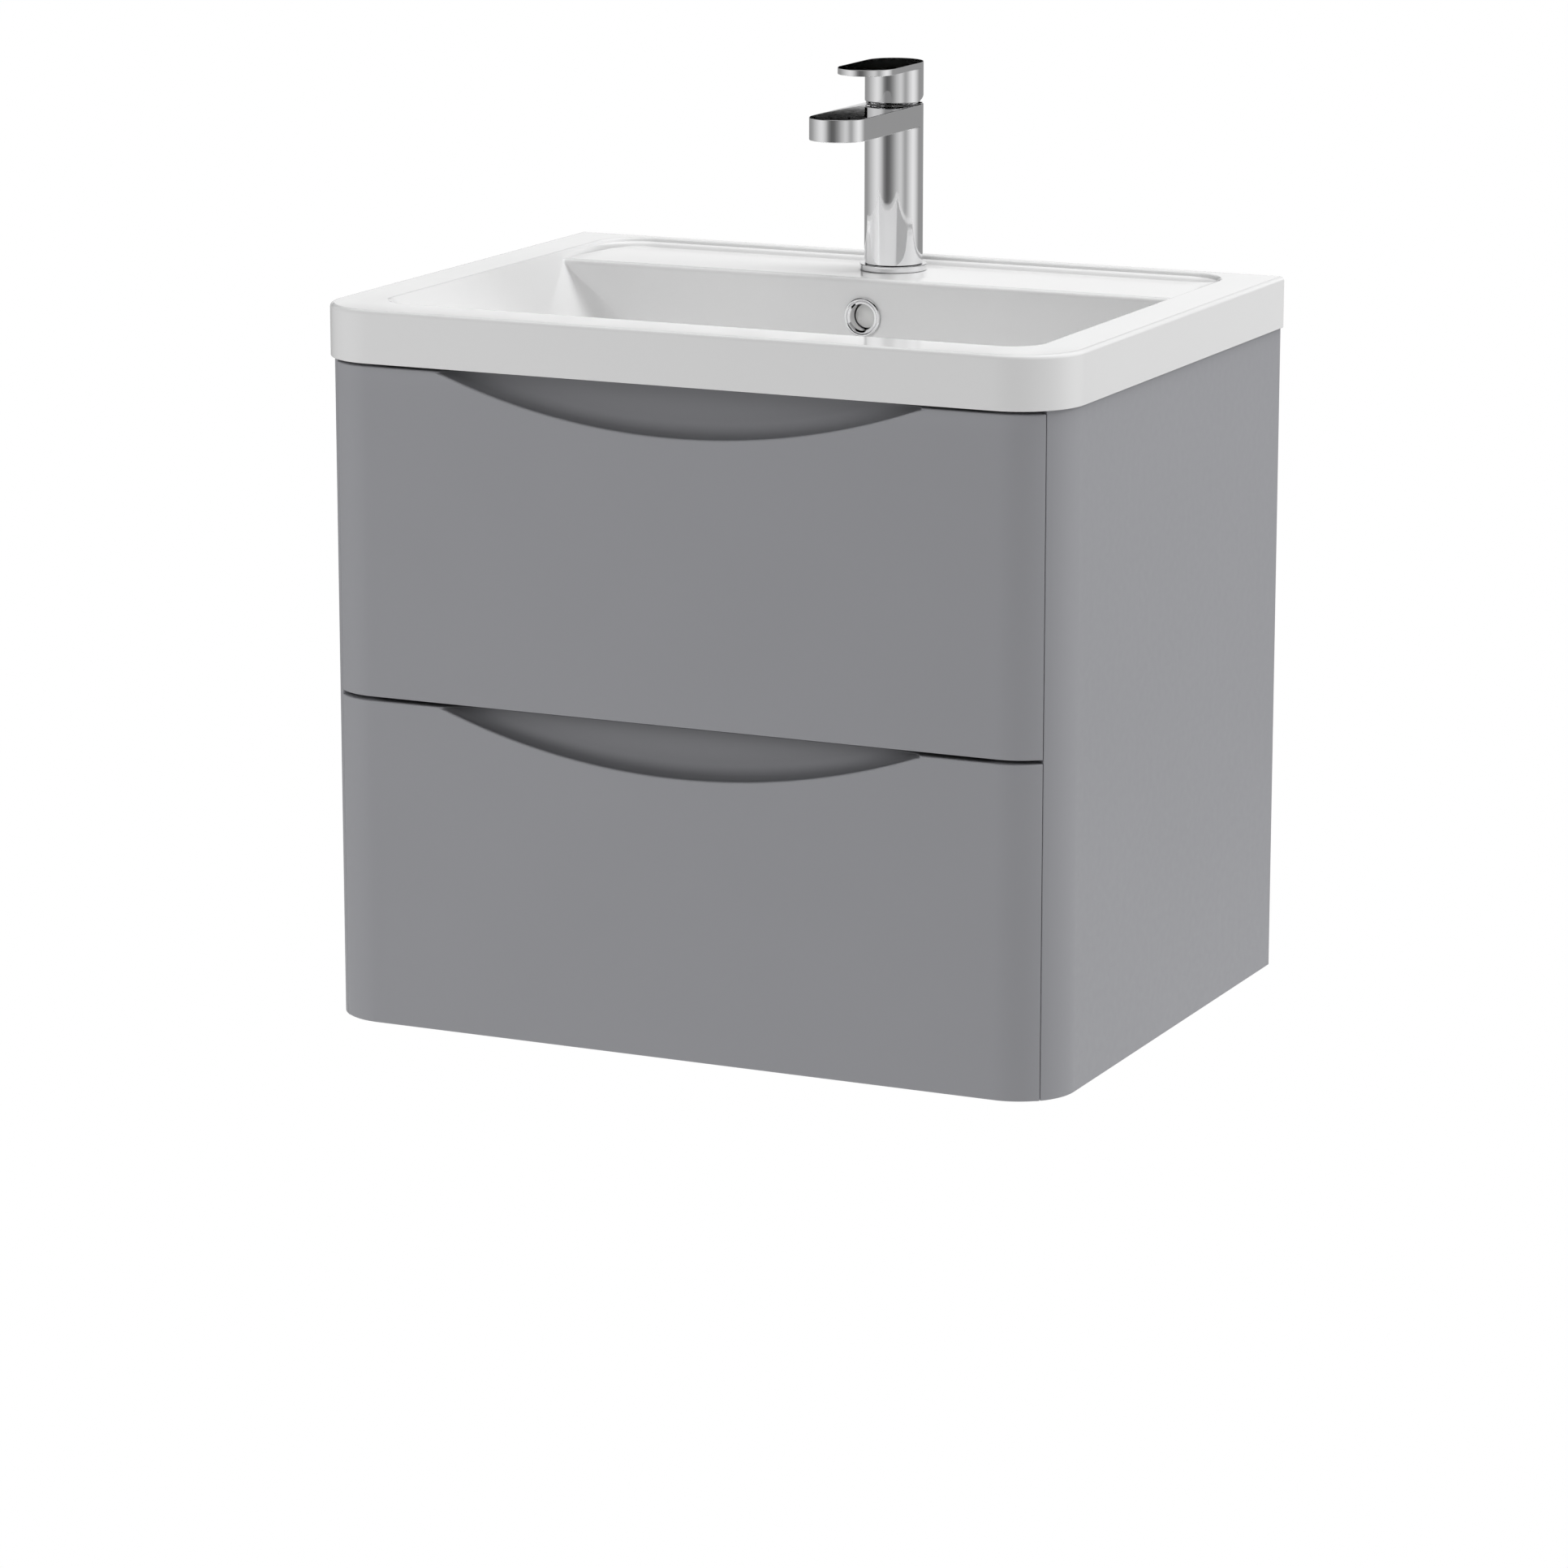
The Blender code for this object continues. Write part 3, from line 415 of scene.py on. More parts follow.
def skin(rings, wrap=False):
    """Join closed loops of equal length; cap the ends, or close them into a ring."""
    shape = bmesh.new()
    loops = [loop_of(shape, ring) for ring in rings]
    for lower, upper in zip(loops, loops[1:]):
        band(shape, lower, upper)
    if wrap:
        band(shape, loops[-1], loops[0])
    else:
        shape.faces.new(loops[0][::-1])
        shape.faces.new(loops[-1])
    return shape


PLACE = {
    "X": lambda a, b, level: (level, a, b),
    "Y": lambda a, b, level: (a, level, b),
    "Z": lambda a, b, level: (a, b, level),
}


def soft_prism(outline, low, high, axis="Z", corner=0.0006, edge=0.0005, steps=3):
    """Extrude an outline with every edge slightly rounded."""
    points, normals = inward(rounded(outline, max(corner, 1.1 * edge), steps))

    def ring(inset, level):
        return [PLACE[axis](*(p + n * edge * inset), level) for p, n in zip(points, normals)]

    ease = quarter(steps)
    rings = [ring(inset, low + edge * rise) for inset, rise in ease]
    rings += [ring(inset, high - edge * rise) for inset, rise in ease[::-1]]
    return skin(rings)


def board(low, high, edge=0.0006, steps=3):
    return soft_prism(rectangle(low, high), low[2], high[2], "Z", edge, edge, steps)


def turned(profile, centre, tilt=None, edge=0.0004, steps=96, ribs=None):
    """Revolve (radius, height) points about +Z with rounded corners.  ribs is
    (number, depth, lowest radius, low, high) for a gripped band."""
    hollow = profile[0][0] > 0
    shape = bmesh.new()
    loops = []
    turns = [math.tau * step / steps for step in range(steps)]
    for radius, height in rounded(profile, edge, 3 if ribs is None else 5, closed=hollow, least=12):
        if radius < 1e-9:
            loops.append(loop_of(shape, [(0, 0, height)]) * steps)
            continue
        reach = [radius] * steps
        if ribs is not None and radius >= ribs[2] and ribs[3] <= height <= ribs[4]:
            reach = [radius - ribs[1] * (0.5 - 0.5 * math.cos(ribs[0] * a)) ** 2 for a in turns]
        ring = [(r * math.cos(a), r * math.sin(a), height) for r, a in zip(reach, turns)]
        loops.append(loop_of(shape, ring))
    for lower, upper in zip(loops, loops[1:]):
        band(shape, lower, upper)
    if hollow:
        band(shape, loops[-1], loops[0])
    if tilt is not None:
        bmesh.ops.transform(shape, matrix=tilt, verts=shape.verts)
    bmesh.ops.translate(shape, verts=shape.verts, vec=centre)
    return shape


def tube(inner, outer, low, high):
    return rectangle((inner, low), (outer, high))


def rod(radius, low, high):
    return tube(0, radius, low, high)


def nut(across, bore, low, high, centre, steps=96):
    """A six-sided nut with chamfered corners round a vertical bore."""
    chamfer, ease = 0.0010, 0.0005
    turns = [math.tau * step / steps for step in range(steps)]
    flats = [across / 2 / math.cos((a + math.pi / 6) % (math.pi / 3) - math.pi / 6) for a in turns]
    corner = across / 2 * 1.13

    def ring(reach, level):
        return [(centre[0] + r * math.cos(a), centre[1] + r * math.sin(a), centre[2] + level)
                for r, a in zip(reach, turns)]

    loops = [ring([min(flat, corner - inset) for flat in flats], level)
             for inset, level in ((chamfer, low), (0, low + chamfer), (0, high - chamfer), (chamfer, high))]
    loops += [ring([bore + wider] * steps, level)
              for wider, level in ((ease, high), (0, high - ease), (0, low + ease), (ease, low))]
    return skin(loops, wrap=True)


def clamp(value, low, high):
    return min(max(value, low), high)


def smooth(value, low=0.0, high=1.0):
    t = clamp((value - low) / (high - low), 0.0, 1.0)
    return t * t * (3 - 2 * t)


# ---- basin
SIDE_STEPS, CORNER_STEPS, FRONT_STEPS = 22, 18, 22  # on each half of a ring's front
NEAR_STEPS, TURN_STEPS, BACK_STEPS = 12, 14, 22  # and of its back
JUNCTION_Y = -0.115  # where a ring's front part meets its back part
DECK_ROUND = 0.0045
RIM_ROUND = 0.0026
TIGHT = 0.0015  # radius of the bowl's upper back corners
SLOPES = {"side": SIDE_SLOPE, "front": FRONT_SLOPE, "back": BACK_SLOPE}


def mirrored(rows):
    return [(-x, y, w) for x, y, w in rows[::-1]]


def front_part(half, front, end_y, corner):
    """Left side, front and right side of a ring, with how much each point is front."""
    rows = [(-half, end_y + (front + corner - end_y) * step / SIDE_STEPS, 0.0) for step in range(SIDE_STEPS)]
    bend = arc((corner - half, front + corner), corner, 180, 270, CORNER_STEPS)[:-1]
    rows += [(x, y, smooth(step / CORNER_STEPS)) for step, (x, y) in enumerate(bend)]
    rows += [((half - corner) * (step / FRONT_STEPS - 1), front, 1.0) for step in range(FRONT_STEPS)]
    return rows + [(0.0, front, 1.0)] + mirrored(rows)


def back_part(half, back, corner, start_y=None):
    """Right side, back and left side of a ring, with how much each point is back and
    without its two junction points.  The bowl's own rings start at the corner."""
    near = 0 if start_y is None else NEAR_STEPS
    straight = NEAR_STEPS + BACK_STEPS - near
    rows = [(half, start_y + (back - corner - start_y) * step / near, 0.0) for step in range(1, near + 1)]
    bend = arc((half - corner, back - corner), corner, 0, 90, TURN_STEPS)
    rows += [(x, y, smooth(step / TURN_STEPS)) for step, (x, y) in enumerate(bend)][1:]
    rows += [((half - corner) * (1 - step / straight), back, 1.0) for step in range(1, straight)]
    return rows + [(0.0, back, 1.0)] + mirrored(rows)


def rim_point(kind, share, slope, width, power):
    """(inset, drop) at a share of the rim's rounded edge, of the short straight wall
    below it, or of the cove that ends on the deck."""
    bend = math.pi / 2 - math.atan(slope)
    if kind == "edge":
        inset = RIM_ROUND * (math.sin(bend * share) - math.tan(bend / 2))
        return inset, RIM_ROUND * (1 - math.cos(bend * share))
    if kind == "wall":
        start = RIM_ROUND * (1 - math.cos(bend))
        drop = start + (WALL_DROP - start) * share
        return slope * drop, drop
    fall = DECK_DROP - WALL_DROP
    return slope * WALL_DROP + width * share, WALL_DROP + fall * (1 - (1 - share) ** power)


def rim_ring(kind, share):
    fall = DECK_DROP - WALL_DROP
    narrow, wide = SIDE_SLOPE * fall, 0.030
    side_in, side_drop = rim_point(kind, share, SIDE_SLOPE, narrow, 1.0)
    front_in, front_drop = rim_point(kind, share, FRONT_SLOPE, FRONT_SLOPE * fall, 1.0)
    ring = []
    for x, y, w in front_part(BOWL_HALF - side_in, BOWL_FRONT + front_in, JUNCTION_Y, BOWL_CORNER):
        ring.append((x, y, RIM - side_drop - (front_drop - side_drop) * w))
    base = [(x, y) for x, y, w in back_part(BOWL_HALF, DECK_BACK, DECK_CORNER, JUNCTION_Y)]
    half_way = [(BOWL_HALF, JUNCTION_Y)] + base[:len(base) // 2 + 1]
    runs = [0.0]
    for before, here in zip(half_way, half_way[1:]):
        runs.append(runs[-1] + math.dist(before, here))
    runs = runs[1:] + runs[-2:0:-1]
    straight = BOWL_HALF - DECK_CORNER
    for (x, y), run in zip(base, runs):  # towards the back the cove is wider and softer
        slope = SIDE_SLOPE + (0.60 - SIDE_SLOPE) * smooth(run, 0, 0.04)
        width = narrow + (wide - narrow) * smooth(run, 0, 0.100)
        inset, drop = rim_point(kind, share, slope, width, 1.0 + 2.0 * smooth(run, 0, 0.045))
        out = Vector((x - clamp(x, -straight, straight), max(y - DECK_BACK + DECK_CORNER, 0))).normalized()
        ring.append((x - out.x * inset, y - out.y * inset, RIM - drop))
    return ring


def rim_rings():
    steps = [("edge", step / 6) for step in range(7)] + [("wall", step / 2) for step in (1, 2)]
    steps += [("cove", step / 10) for step in range(1, 11)]
    return [rim_ring(kind, share) for kind, share in steps]


def bowl_ring(side, front, back, back_corner, corner=BOWL_CORNER):
    """side and front are (inset, drop) pairs; back is a (Y, drop) pair."""
    ring = []
    half = BOWL_HALF - side[0]
    for x, y, w in front_part(half, BOWL_FRONT + front[0], back[0] - back_corner, corner):
        ring.append((x, y, RIM - side[1] - (front[1] - side[1]) * w))
    for x, y, w in back_part(half, back[0], back_corner):
        ring.append((x, y, RIM - side[1] - (back[1] - side[1]) * w))
    return ring


def waste_circle(outline, radius, height):
    """A circle round the waste with a point in the direction of each outline point."""
    angles = [math.atan2(point[1] - WASTE_Y, point[0]) for point in outline]
    return [(radius * math.cos(a), WASTE_Y + radius * math.sin(a), height) for a in angles]


def bowl_rings():
    """From the deck's edge down the walls, across the floor and into the waste hole."""
    rings = []
    for flat, fall in quarter(6):
        drop = DECK_DROP + DECK_ROUND * fall
        rings.append(bowl_ring((SIDE_SLOPE * drop, drop), (FRONT_SLOPE * drop, drop),
                               (BOWL_BACK + DECK_ROUND * flat, drop), TIGHT))
    top = DECK_DROP + DECK_ROUND
    low = {word: BOWL_DEPTH - BOWL_ROUND * (1 - math.sin(math.atan(slope)))
           for word, slope in SLOPES.items()}
    wall_steps = 16  # the back corners open up on the way down
    for step in range(1, wall_steps + 1):
        drop = {word: top + (value - top) * step / wall_steps for word, value in low.items()}
        rings.append(bowl_ring(
            (SIDE_SLOPE * drop["side"], drop["side"]), (FRONT_SLOPE * drop["front"], drop["front"]),
            (BOWL_BACK - BACK_SLOPE * (drop["back"] - top), drop["back"]),
            TIGHT + 0.0105 * smooth(drop["side"], top, 0.045)))
    round_steps = 12
    for step in range(1, round_steps + 1):
        pairs = {}
        for word, slope in SLOPES.items():
            lean = math.atan(slope)
            a = lean + (math.pi / 2 - lean) * step / round_steps
            pairs[word] = (slope * low[word] + BOWL_ROUND * (math.cos(lean) - math.cos(a)),
                           low[word] + BOWL_ROUND * (math.sin(a) - math.sin(lean)))
        back_in, back_drop = pairs["back"]
        back = (BOWL_BACK + BACK_SLOPE * top - back_in, back_drop)
        rings.append(bowl_ring(pairs["side"], pairs["front"], back, 0.013, 0.026))
    outline = rings[-1]
    seat = waste_circle(outline, 0.0362, FLOOR)
    for share in (0.3, 0.6, 0.85):
        rings.append([tuple(Vector(p).lerp(Vector(q), share)) for p, q in zip(outline, seat)])
    rings.append(seat)
    for radius, fall in ((0.0354, 0.0002), (0.0346, 0.0007), (0.0340, 0.0014), (0.0336, 0.0022),
                         (0.0335, 0.0028), (0.0238, 0.0028), (0.0232, 0.0031), (0.0230, 0.0037)):
        rings.append(waste_circle(outline, radius, FLOOR - fall))
    return rings


def outer_ring(half, front, back, front_corner, back_corner, height, end_y=JUNCTION_Y):
    rows = front_part(half, front, end_y, front_corner) + back_part(half, back, back_corner, end_y)
    return [(x, y, height) for x, y, w in rows]


def outer_rings():
    """From the rim's outer edge, down the skirt, under the plate and round the bowl."""
    def skirt_ring(inset, height):
        half, front, corner = HALF_BASIN - inset, BASIN_FRONT + inset, BASIN_CORNER - inset
        return outer_ring(half, front, -inset, corner, 0.0012, height)

    top_round, low_round = 0.0032, 0.0006
    rings = [skirt_ring(top_round * inset, RIM - top_round * fall) for inset, fall in quarter(6)]
    rings += [skirt_ring(low_round * inset, BASIN_BOTTOM + low_round * rise) for rise, inset in quarter(5)]
    half, front, back = 0.2785, -0.412, -0.020  # the hollow under the plate
    for inset, height in ((-0.0012, 0.055), (0.0, 0.0562), (0.0, 0.0735), (0.0015, 0.0750)):
        rings.append(outer_ring(half - inset, front + inset, back - inset, 0.022, 0.006, height))
    for drop, spread, corner in ((0.021, BOWL_WALL, 0.036), (0.060, BOWL_WALL, 0.036),
                                 (BOWL_DEPTH - 0.006, BOWL_WALL, 0.036), (BOWL_DEPTH + 0.006, 0.011, 0.034),
                                 (BOWL_DEPTH + BOWL_WALL, 0.0, 0.030)):
        bowl_front = max(BOWL_FRONT + FRONT_SLOPE * drop - spread, front + 0.002)
        rings.append(outer_ring(BOWL_HALF - SIDE_SLOPE * drop + spread, bowl_front,
                                BOWL_BACK - BACK_SLOPE * drop + spread, corner, 0.018, RIM - drop, -0.190))
    flat, under = rings[-1], FLOOR - BOWL_WALL
    return rings + [waste_circle(flat, 0.0236, under), waste_circle(flat, 0.0230, under + 0.0006)]


def basin():
    rims, bowls, outers = rim_rings(), bowl_rings(), outer_rings()
    shape = bmesh.new()
    rim_loops = [loop_of(shape, ring) for ring in rims]
    outer_loops = [loop_of(shape, ring) for ring in outers]
    shared = 2 * (SIDE_STEPS + CORNER_STEPS + FRONT_STEPS) + 1
    first = rim_loops[-1][:shared] + loop_of(shape, bowls[0][shared:])
    bowl_loops = [first] + [loop_of(shape, ring) for ring in bowls[1:]]
    for loops in (rim_loops, bowl_loops, outer_loops):
        for lower, upper in zip(loops, loops[1:]):
            band(shape, lower, upper)
    band(shape, rim_loops[0], outer_loops[0])
    band(shape, bowl_loops[-1], outer_loops[-1])
    shape.faces.new([first[shared - 1]] + rim_loops[-1][shared:] + [first[0]] + first[shared:][::-1])
    body = stand_in(shape, "basin", sharp=50)
    tap_hole = turned(rod(0.0175, -0.040, 0.020), (0, TAP_Y, RIM - DECK_DROP), edge=0.0001)
    overflow = turned(rod(0.0124, -0.020, 0.020), (0, BOWL_BACK, RIM - OVERFLOW_DROP), TO_FRONT, 0.0001)
    carve(body, tap_hole, overflow)


def overflow_duct():
    """The moulded duct from the overflow to the waste, under the bowl."""
    outline = [(-0.0985, 0.074), (-0.0985, DUCT_BOTTOM), (-0.275, DUCT_BOTTOM), (-0.275, -0.0305)]
    outline += [(-0.1078, -0.0305), (-0.1058, 0.074)]
    boss = soft_prism(outline, -0.040, 0.040, "X", 0.003, 0.003, 4)
    inside = DUCT_BOTTOM + 0.0040
    channel = [(-0.1010, 0.068), (-0.1010, inside), (WASTE_Y, inside), (WASTE_Y, -0.0335)]
    channel += [(-0.1115, -0.0335), (-0.1095, 0.068)]
    carve(extra(boss, "basin_overflow_duct", "basin_glaze"),
          soft_prism(channel, -0.018, 0.018, "X", 0.001, 0.001),
          turned(rod(0.0230, -0.040, 0.010), (0, WASTE_Y, -0.030), edge=0.0001))


# ---- cabinet exterior
def front_outline():
    """Plan of a drawer front, anticlockwise from the left mitre, corners rounded."""
    seam = 45 + math.degrees(SEAM / CORNER)
    back_x = INNER - SEAM * math.sqrt(2)
    corner_x, corner_y = HALF - CORNER, FACE + CORNER
    bend_steps, face_steps = 22, 170
    points = [(-back_x, FACE_BACK)]
    points += arc((-corner_x, corner_y), CORNER, 180 + seam, 270, bend_steps)
    points += [(-corner_x + 2 * corner_x * step / face_steps, FACE) for step in range(1, face_steps)]
    points += arc((corner_x, corner_y), CORNER, 270, 360 - seam, bend_steps)
    points.append((back_x, FACE_BACK))
    return rounded(points, 0.0011, 4, least=30)


def recess_profile(reach):
    """(reach, depth) points across the finger recess: lip, scoop, flat back, cut off
    where it meets the drawer front's top edge at that reach."""
    lip = 0.0013
    scoop = SMILE_DEPTH - lip
    quarter_turn, steps = math.pi / 2, 34
    total = lip * math.asin(clamp(1 + reach / lip, 0, 1)) + scoop * math.acos(1 - clamp(reach / scoop, 0, 1))
    total += max(reach - scoop, 0)
    rows = []
    for step in range(steps + 1):
        run = total * (step / steps) ** 1.7
        a = min(run / lip, quarter_turn)
        b = clamp((run - lip * quarter_turn) / scoop, 0, quarter_turn)
        flat = max(run - SMILE_DEPTH * quarter_turn, 0)
        rows.append((lip * (math.sin(a) - 1) + scoop * (1 - math.cos(b)) + flat,
                     lip * (1 - math.cos(a)) + scoop * math.sin(b)))
    return rows


def drawer_front(node, top):
    """A board with rounded ends and a scooped finger recess along its top edge."""
    edge, edge_steps, face_steps = 0.0010, 4, 14
    low, high = top - FRONT_HEIGHT + edge, top - edge
    centre = (0, top - SMILE_DROP + SMILE_RADIUS)
    points, normals = inward(front_outline())
    mitre = min(points, key=lambda p: math.dist(p, (-HALF, FACE + 0.6 * CORNER)))
    ease = [edge * (0.2 + 0.8 * smooth(math.dist((-abs(p.x), p.y), mitre), 0, 0.006)) for p in points]
    rings = [[(*(p + n * e * inset), low - edge + edge * rise) for p, n, e in zip(points, normals, ease)]
             for inset, rise in quarter(edge_steps)]

    def height_at(x, inset):
        return centre[1] - math.sqrt((SMILE_RADIUS - inset) ** 2 - x ** 2)

    columns = []
    for p, n, e in zip(points, normals, ease):
        is_face = abs(p.y - FACE) < 1e-6 and abs(p.x) < HALF - CORNER + 1e-6
        profile = recess_profile(SMILE_RADIUS - math.dist((p.x, high), centre) if is_face else -1.0)
        scooped = profile[-1] != profile[0]
        start = height_at(p.x, profile[0][0]) if scooped else high
        column = [(*p, low + (start - low) * step / face_steps) for step in range(1, face_steps + 1)]
        for inset, depth in profile[1:]:
            column.append((*(p + n * depth), min(high, height_at(p.x, inset)) if scooped else high))
        for short, inset in quarter(edge_steps)[1:]:
            column.append((*(p + n * (profile[-1][1] + e * inset)), top - edge * short))
        columns.append(column)
    rings += [list(row) for row in zip(*columns)]
    # the front's lacquer carries painted shade in the finger recess
    stand_in(skin(rings), node, sharp=38, look="lacquered_front")


def side_panel(node, side):
    bend = arc((HALF - CORNER, FACE + CORNER), CORNER, 0, -45, 26)
    outline = [(INNER, 0.0), (HALF, 0.0), *bend[:-3], bend[-1], (INNER, FACE + HALF - INNER)]
    top = CABINET_TOP - 0.0003
    stand_in(soft_prism(on_side(side, outline), CABINET_BOTTOM, top, "Z", 0.0006, 0.0005, 4), node)


def plain_boards():
    for node in sorted(SLOT_OF):
        plain = SLOT_OF[node] in ("lacquered_board", "box_laminate")
        front = node.endswith("_front") and not node.endswith("notch_front")
        shaped = front or "_side_" in node or node.startswith("side_panel") or node == "upper_drawer_floor"
        if plain and not shaped:
            stand_in(board(*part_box(node)), node)


def drawer_sides():
    """Box sides, each with a groove for the floor."""
    for drawer in DRAWERS:
        for word, side in SIDES:
            node = f"{drawer}_drawer_side_{word}"
            low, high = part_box(node)
            outer, inner = sorted((abs(low.x), abs(high.x)), reverse=True)
            groove, groove_low, groove_high = inner + 0.0053, low.z + 0.010, low.z + 0.0166
            outline = [(outer, low.z), (outer, high.z), (inner, high.z), (inner, groove_high)]
            outline += [(groove, groove_high), (groove, groove_low), (inner, groove_low), (inner, low.z)]
            stand_in(soft_prism(on_side(side, outline), low.y, high.y, "Y", 0.0004, 0.0004, 2), node)


def notched_floor(node):
    """The upper drawer's floor goes round the trap."""
    low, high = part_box(node)
    notch_x, notch_y = 0.0847, -0.2863
    outline = [(low.x, low.y), (high.x, low.y), (high.x, high.y), (notch_x, high.y), (notch_x, notch_y)]
    outline += [(-notch_x, notch_y), (-notch_x, high.y), (low.x, high.y)]
    stand_in(soft_prism(outline, low.z, high.z, "Z", 0.0006, 0.0006), node)


# ---- metal fittings
def runner_members():
    """Three nested channels for each side of each drawer: (web, lip, half height)."""
    thick = 0.0013
    members = {"cabinet": (0.0, 0.0080, 0.0225), "middle": (0.0025, 0.0100, 0.0190),
               "drawer": (0.0124, 0.0050, 0.0155)}
    for drawer in DRAWERS:
        for word, side in SIDES:
            for member, (web, lip, tall) in members.items():
                node = f"{drawer}_runner_{word}_{member}"
                low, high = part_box(node)
                middle = (low.z + high.z) / 2
                back = web + thick if lip > web else web - thick
                channel = [(web, -tall), (lip, -tall), (lip, thick - tall), (back, thick - tall)]
                channel += [(x, -z) for x, z in channel[::-1]]
                outline = on_side(side, [(INNER - 0.0003 - x, middle + z) for x, z in channel])
                stand_in(soft_prism(outline, low.y, high.y, "Y", 0.0006, 0.0002, 3), node)


def wall_brackets():
    thick, slot_radius, slot_reach = 0.0025, 0.0035, 0.007
    for word, side in SIDES:
        node = f"wall_bracket_{word}"
        low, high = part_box(node)
        inner, outer = sorted((abs(low.x), abs(high.x)))
        angle = [(outer, low.y), (outer, 0.0), (inner, 0.0), (inner, -thick)]
        angle += [(outer - thick, -thick), (outer - thick, low.y)]
        bracket = stand_in(soft_prism(on_side(side, angle), low.z, high.z, "Z", 0.0008, 0.0003), node)
        x, z = side * (outer - 0.026), (low.z + high.z) / 2
        slot = arc((x + slot_reach, z), slot_radius, -90, 90, 12)
        slot += arc((x - slot_reach, z), slot_radius, 90, 270, 12)
        carve(bracket, soft_prism(slot, -0.010, 0.010, "Y", 0.00001, 0.00001, 1))


# ---- tap
def bar_rings(reach, low, high, fillet, edge):
    """A maker of plan rings of the tap's round column, and the rings of a flat
    round-ended bar that it carries, from just below the bar to its top face; the bar's
    back end continues the column."""
    back_steps, side_steps, nose_steps = 48, 12, 48
    bar = arc((0, 0), TAP_RADIUS, 0, 180, back_steps)[:-1]
    bar += [(-TAP_RADIUS, -reach * step / side_steps) for step in range(side_steps)]
    bar += arc((0, -reach), TAP_RADIUS, 180, 360, nose_steps)
    bar += [(TAP_RADIUS, reach * (step / side_steps - 1)) for step in range(1, side_steps)]
    front_share = [smooth(-y, 0.0, 0.006) for x, y in bar]
    front_steps = len(bar) - back_steps
    column = [math.pi * step / back_steps for step in range(back_steps)]
    column += [math.pi + math.pi * step / front_steps for step in range(front_steps)]

    def round_ring(grow, height, shrink=0.0):
        ring = []
        for a in column:
            size = TAP_RADIUS - shrink + grow * smooth(-TAP_RADIUS * math.sin(a), 0.004, 0.014)
            ring.append((size * math.cos(a), TAP_Y + size * math.sin(a), height))
        return ring

    def bar_ring(inset, height, shares):
        ring = []
        for (x, y), share in zip(bar, shares):
            out = Vector((x, y - clamp(y, -reach, 0))).normalized() * inset * share
            ring.append((x - out.x, TAP_Y + y - out.y, height))
        return ring

    whole = [1.0] * len(bar)
    rings = [round_ring(fillet * grow, low - fillet * fall) for fall, grow in quarter(6)]
    rings += [bar_ring(edge * inset, low + edge * rise, front_share) for inset, rise in quarter(4)]
    rings += [bar_ring(edge * inset, high - edge * fall, whole) for fall, inset in quarter(4)]
    return round_ring, rings


def tap_body():
    low, high = RIM + SPOUT_LOW, RIM + SPOUT_HIGH
    round_ring, spout = bar_rings(SPOUT_REACH, low, high, 0.0018, 0.0005)
    foot = RIM + 0.0003
    shank, bore = TAP_RADIUS - 0.0165, TAP_RADIUS - 0.0160
    rings = [round_ring(0, RIM - 0.032, shank), round_ring(0, foot, shank), round_ring(0, foot, 0.0004)]
    rings += [round_ring(0, foot + 0.0001, 0.0001), round_ring(0, foot + 0.0004)]
    rings += [round_ring(0, foot + (low - foot) * share) for share in (0.25, 0.5, 0.75)]
    rings += [*spout, round_ring(0, high, bore), round_ring(0, high - 0.038, bore)]
    body = stand_in(skin(rings), "tap_body", sharp=40)
    outlet = (0, TAP_Y - SPOUT_REACH, low)
    carve(body, turned(rod(0.0120, -0.010, 0.010), outlet, edge=0.0001),
          turned(rod(0.0053, -0.060, -0.012), (0, TAP_Y, RIM), edge=0.0001, steps=32))
    insert = [(0.0092, 0.0006), (0.0117, 0.0006), (0.0117, 0.0094), (0.0080, 0.0094), (0.0086, 0.0030)]
    stand_in(turned(insert, outlet, edge=0.0003), "tap_aerator")
    aerator_grid(Vector(outlet))


def aerator_grid(outlet):
    """Two layers of thin bars across the aerator."""
    radius, pitch, half, level = 0.0079, 0.0022, 0.0003, 0.0040
    grid = bmesh.new()
    for step in range(-3, 4):
        for axis in "XY":
            reach = math.sqrt(radius ** 2 - (step * pitch) ** 2)
            along = [(-reach, step * pitch - half), (reach, step * pitch + half)]
            low, high = along if axis == "X" else [(b, a) for a, b in along]
            bottom = level if axis == "X" else level + 2 * half
            corners = (outlet + Vector((*low, bottom)), outlet + Vector((*high, bottom + 2 * half)))
            bar = mesh_object("bar", board(*corners, 0.0001, 1))
            grid.from_mesh(bar.data)
            bpy.data.objects.remove(bar, do_unlink=True)
    extra(grid, "tap_aerator_grid", "white_plastic")


def tap_lever():
    """The cap and its lever; the cap's underside slopes up to the back so that it can tilt."""
    round_ring, lever = bar_rings(LEVER_REACH, RIM + CAP_TOP, RIM + LEVER_HIGH, 0.0012, 0.0004)
    foot = RIM + LEVER_LOW
    slope = math.tan(math.radians(18.5))
    bore, edge = 0.0204, 0.0009

    def sloped(ring):
        return [(x, y, z + max(0.0, (y - TAP_Y + 0.004) * slope)) for x, y, z in ring]

    rings = [round_ring(0, RIM + 0.1400, TAP_RADIUS - bore)]
    rings.append(sloped(round_ring(0, foot + 0.0004, TAP_RADIUS - bore)))
    rings.append(sloped(round_ring(0, foot, TAP_RADIUS - bore - 0.0003)))
    rings += [sloped(round_ring(0, foot + edge * rise, edge * inset)) for inset, rise in quarter(4)]
    rings += [round_ring(0, foot + 0.0125), *lever]
    stand_in(skin(rings), "tap_lever", sharp=40)


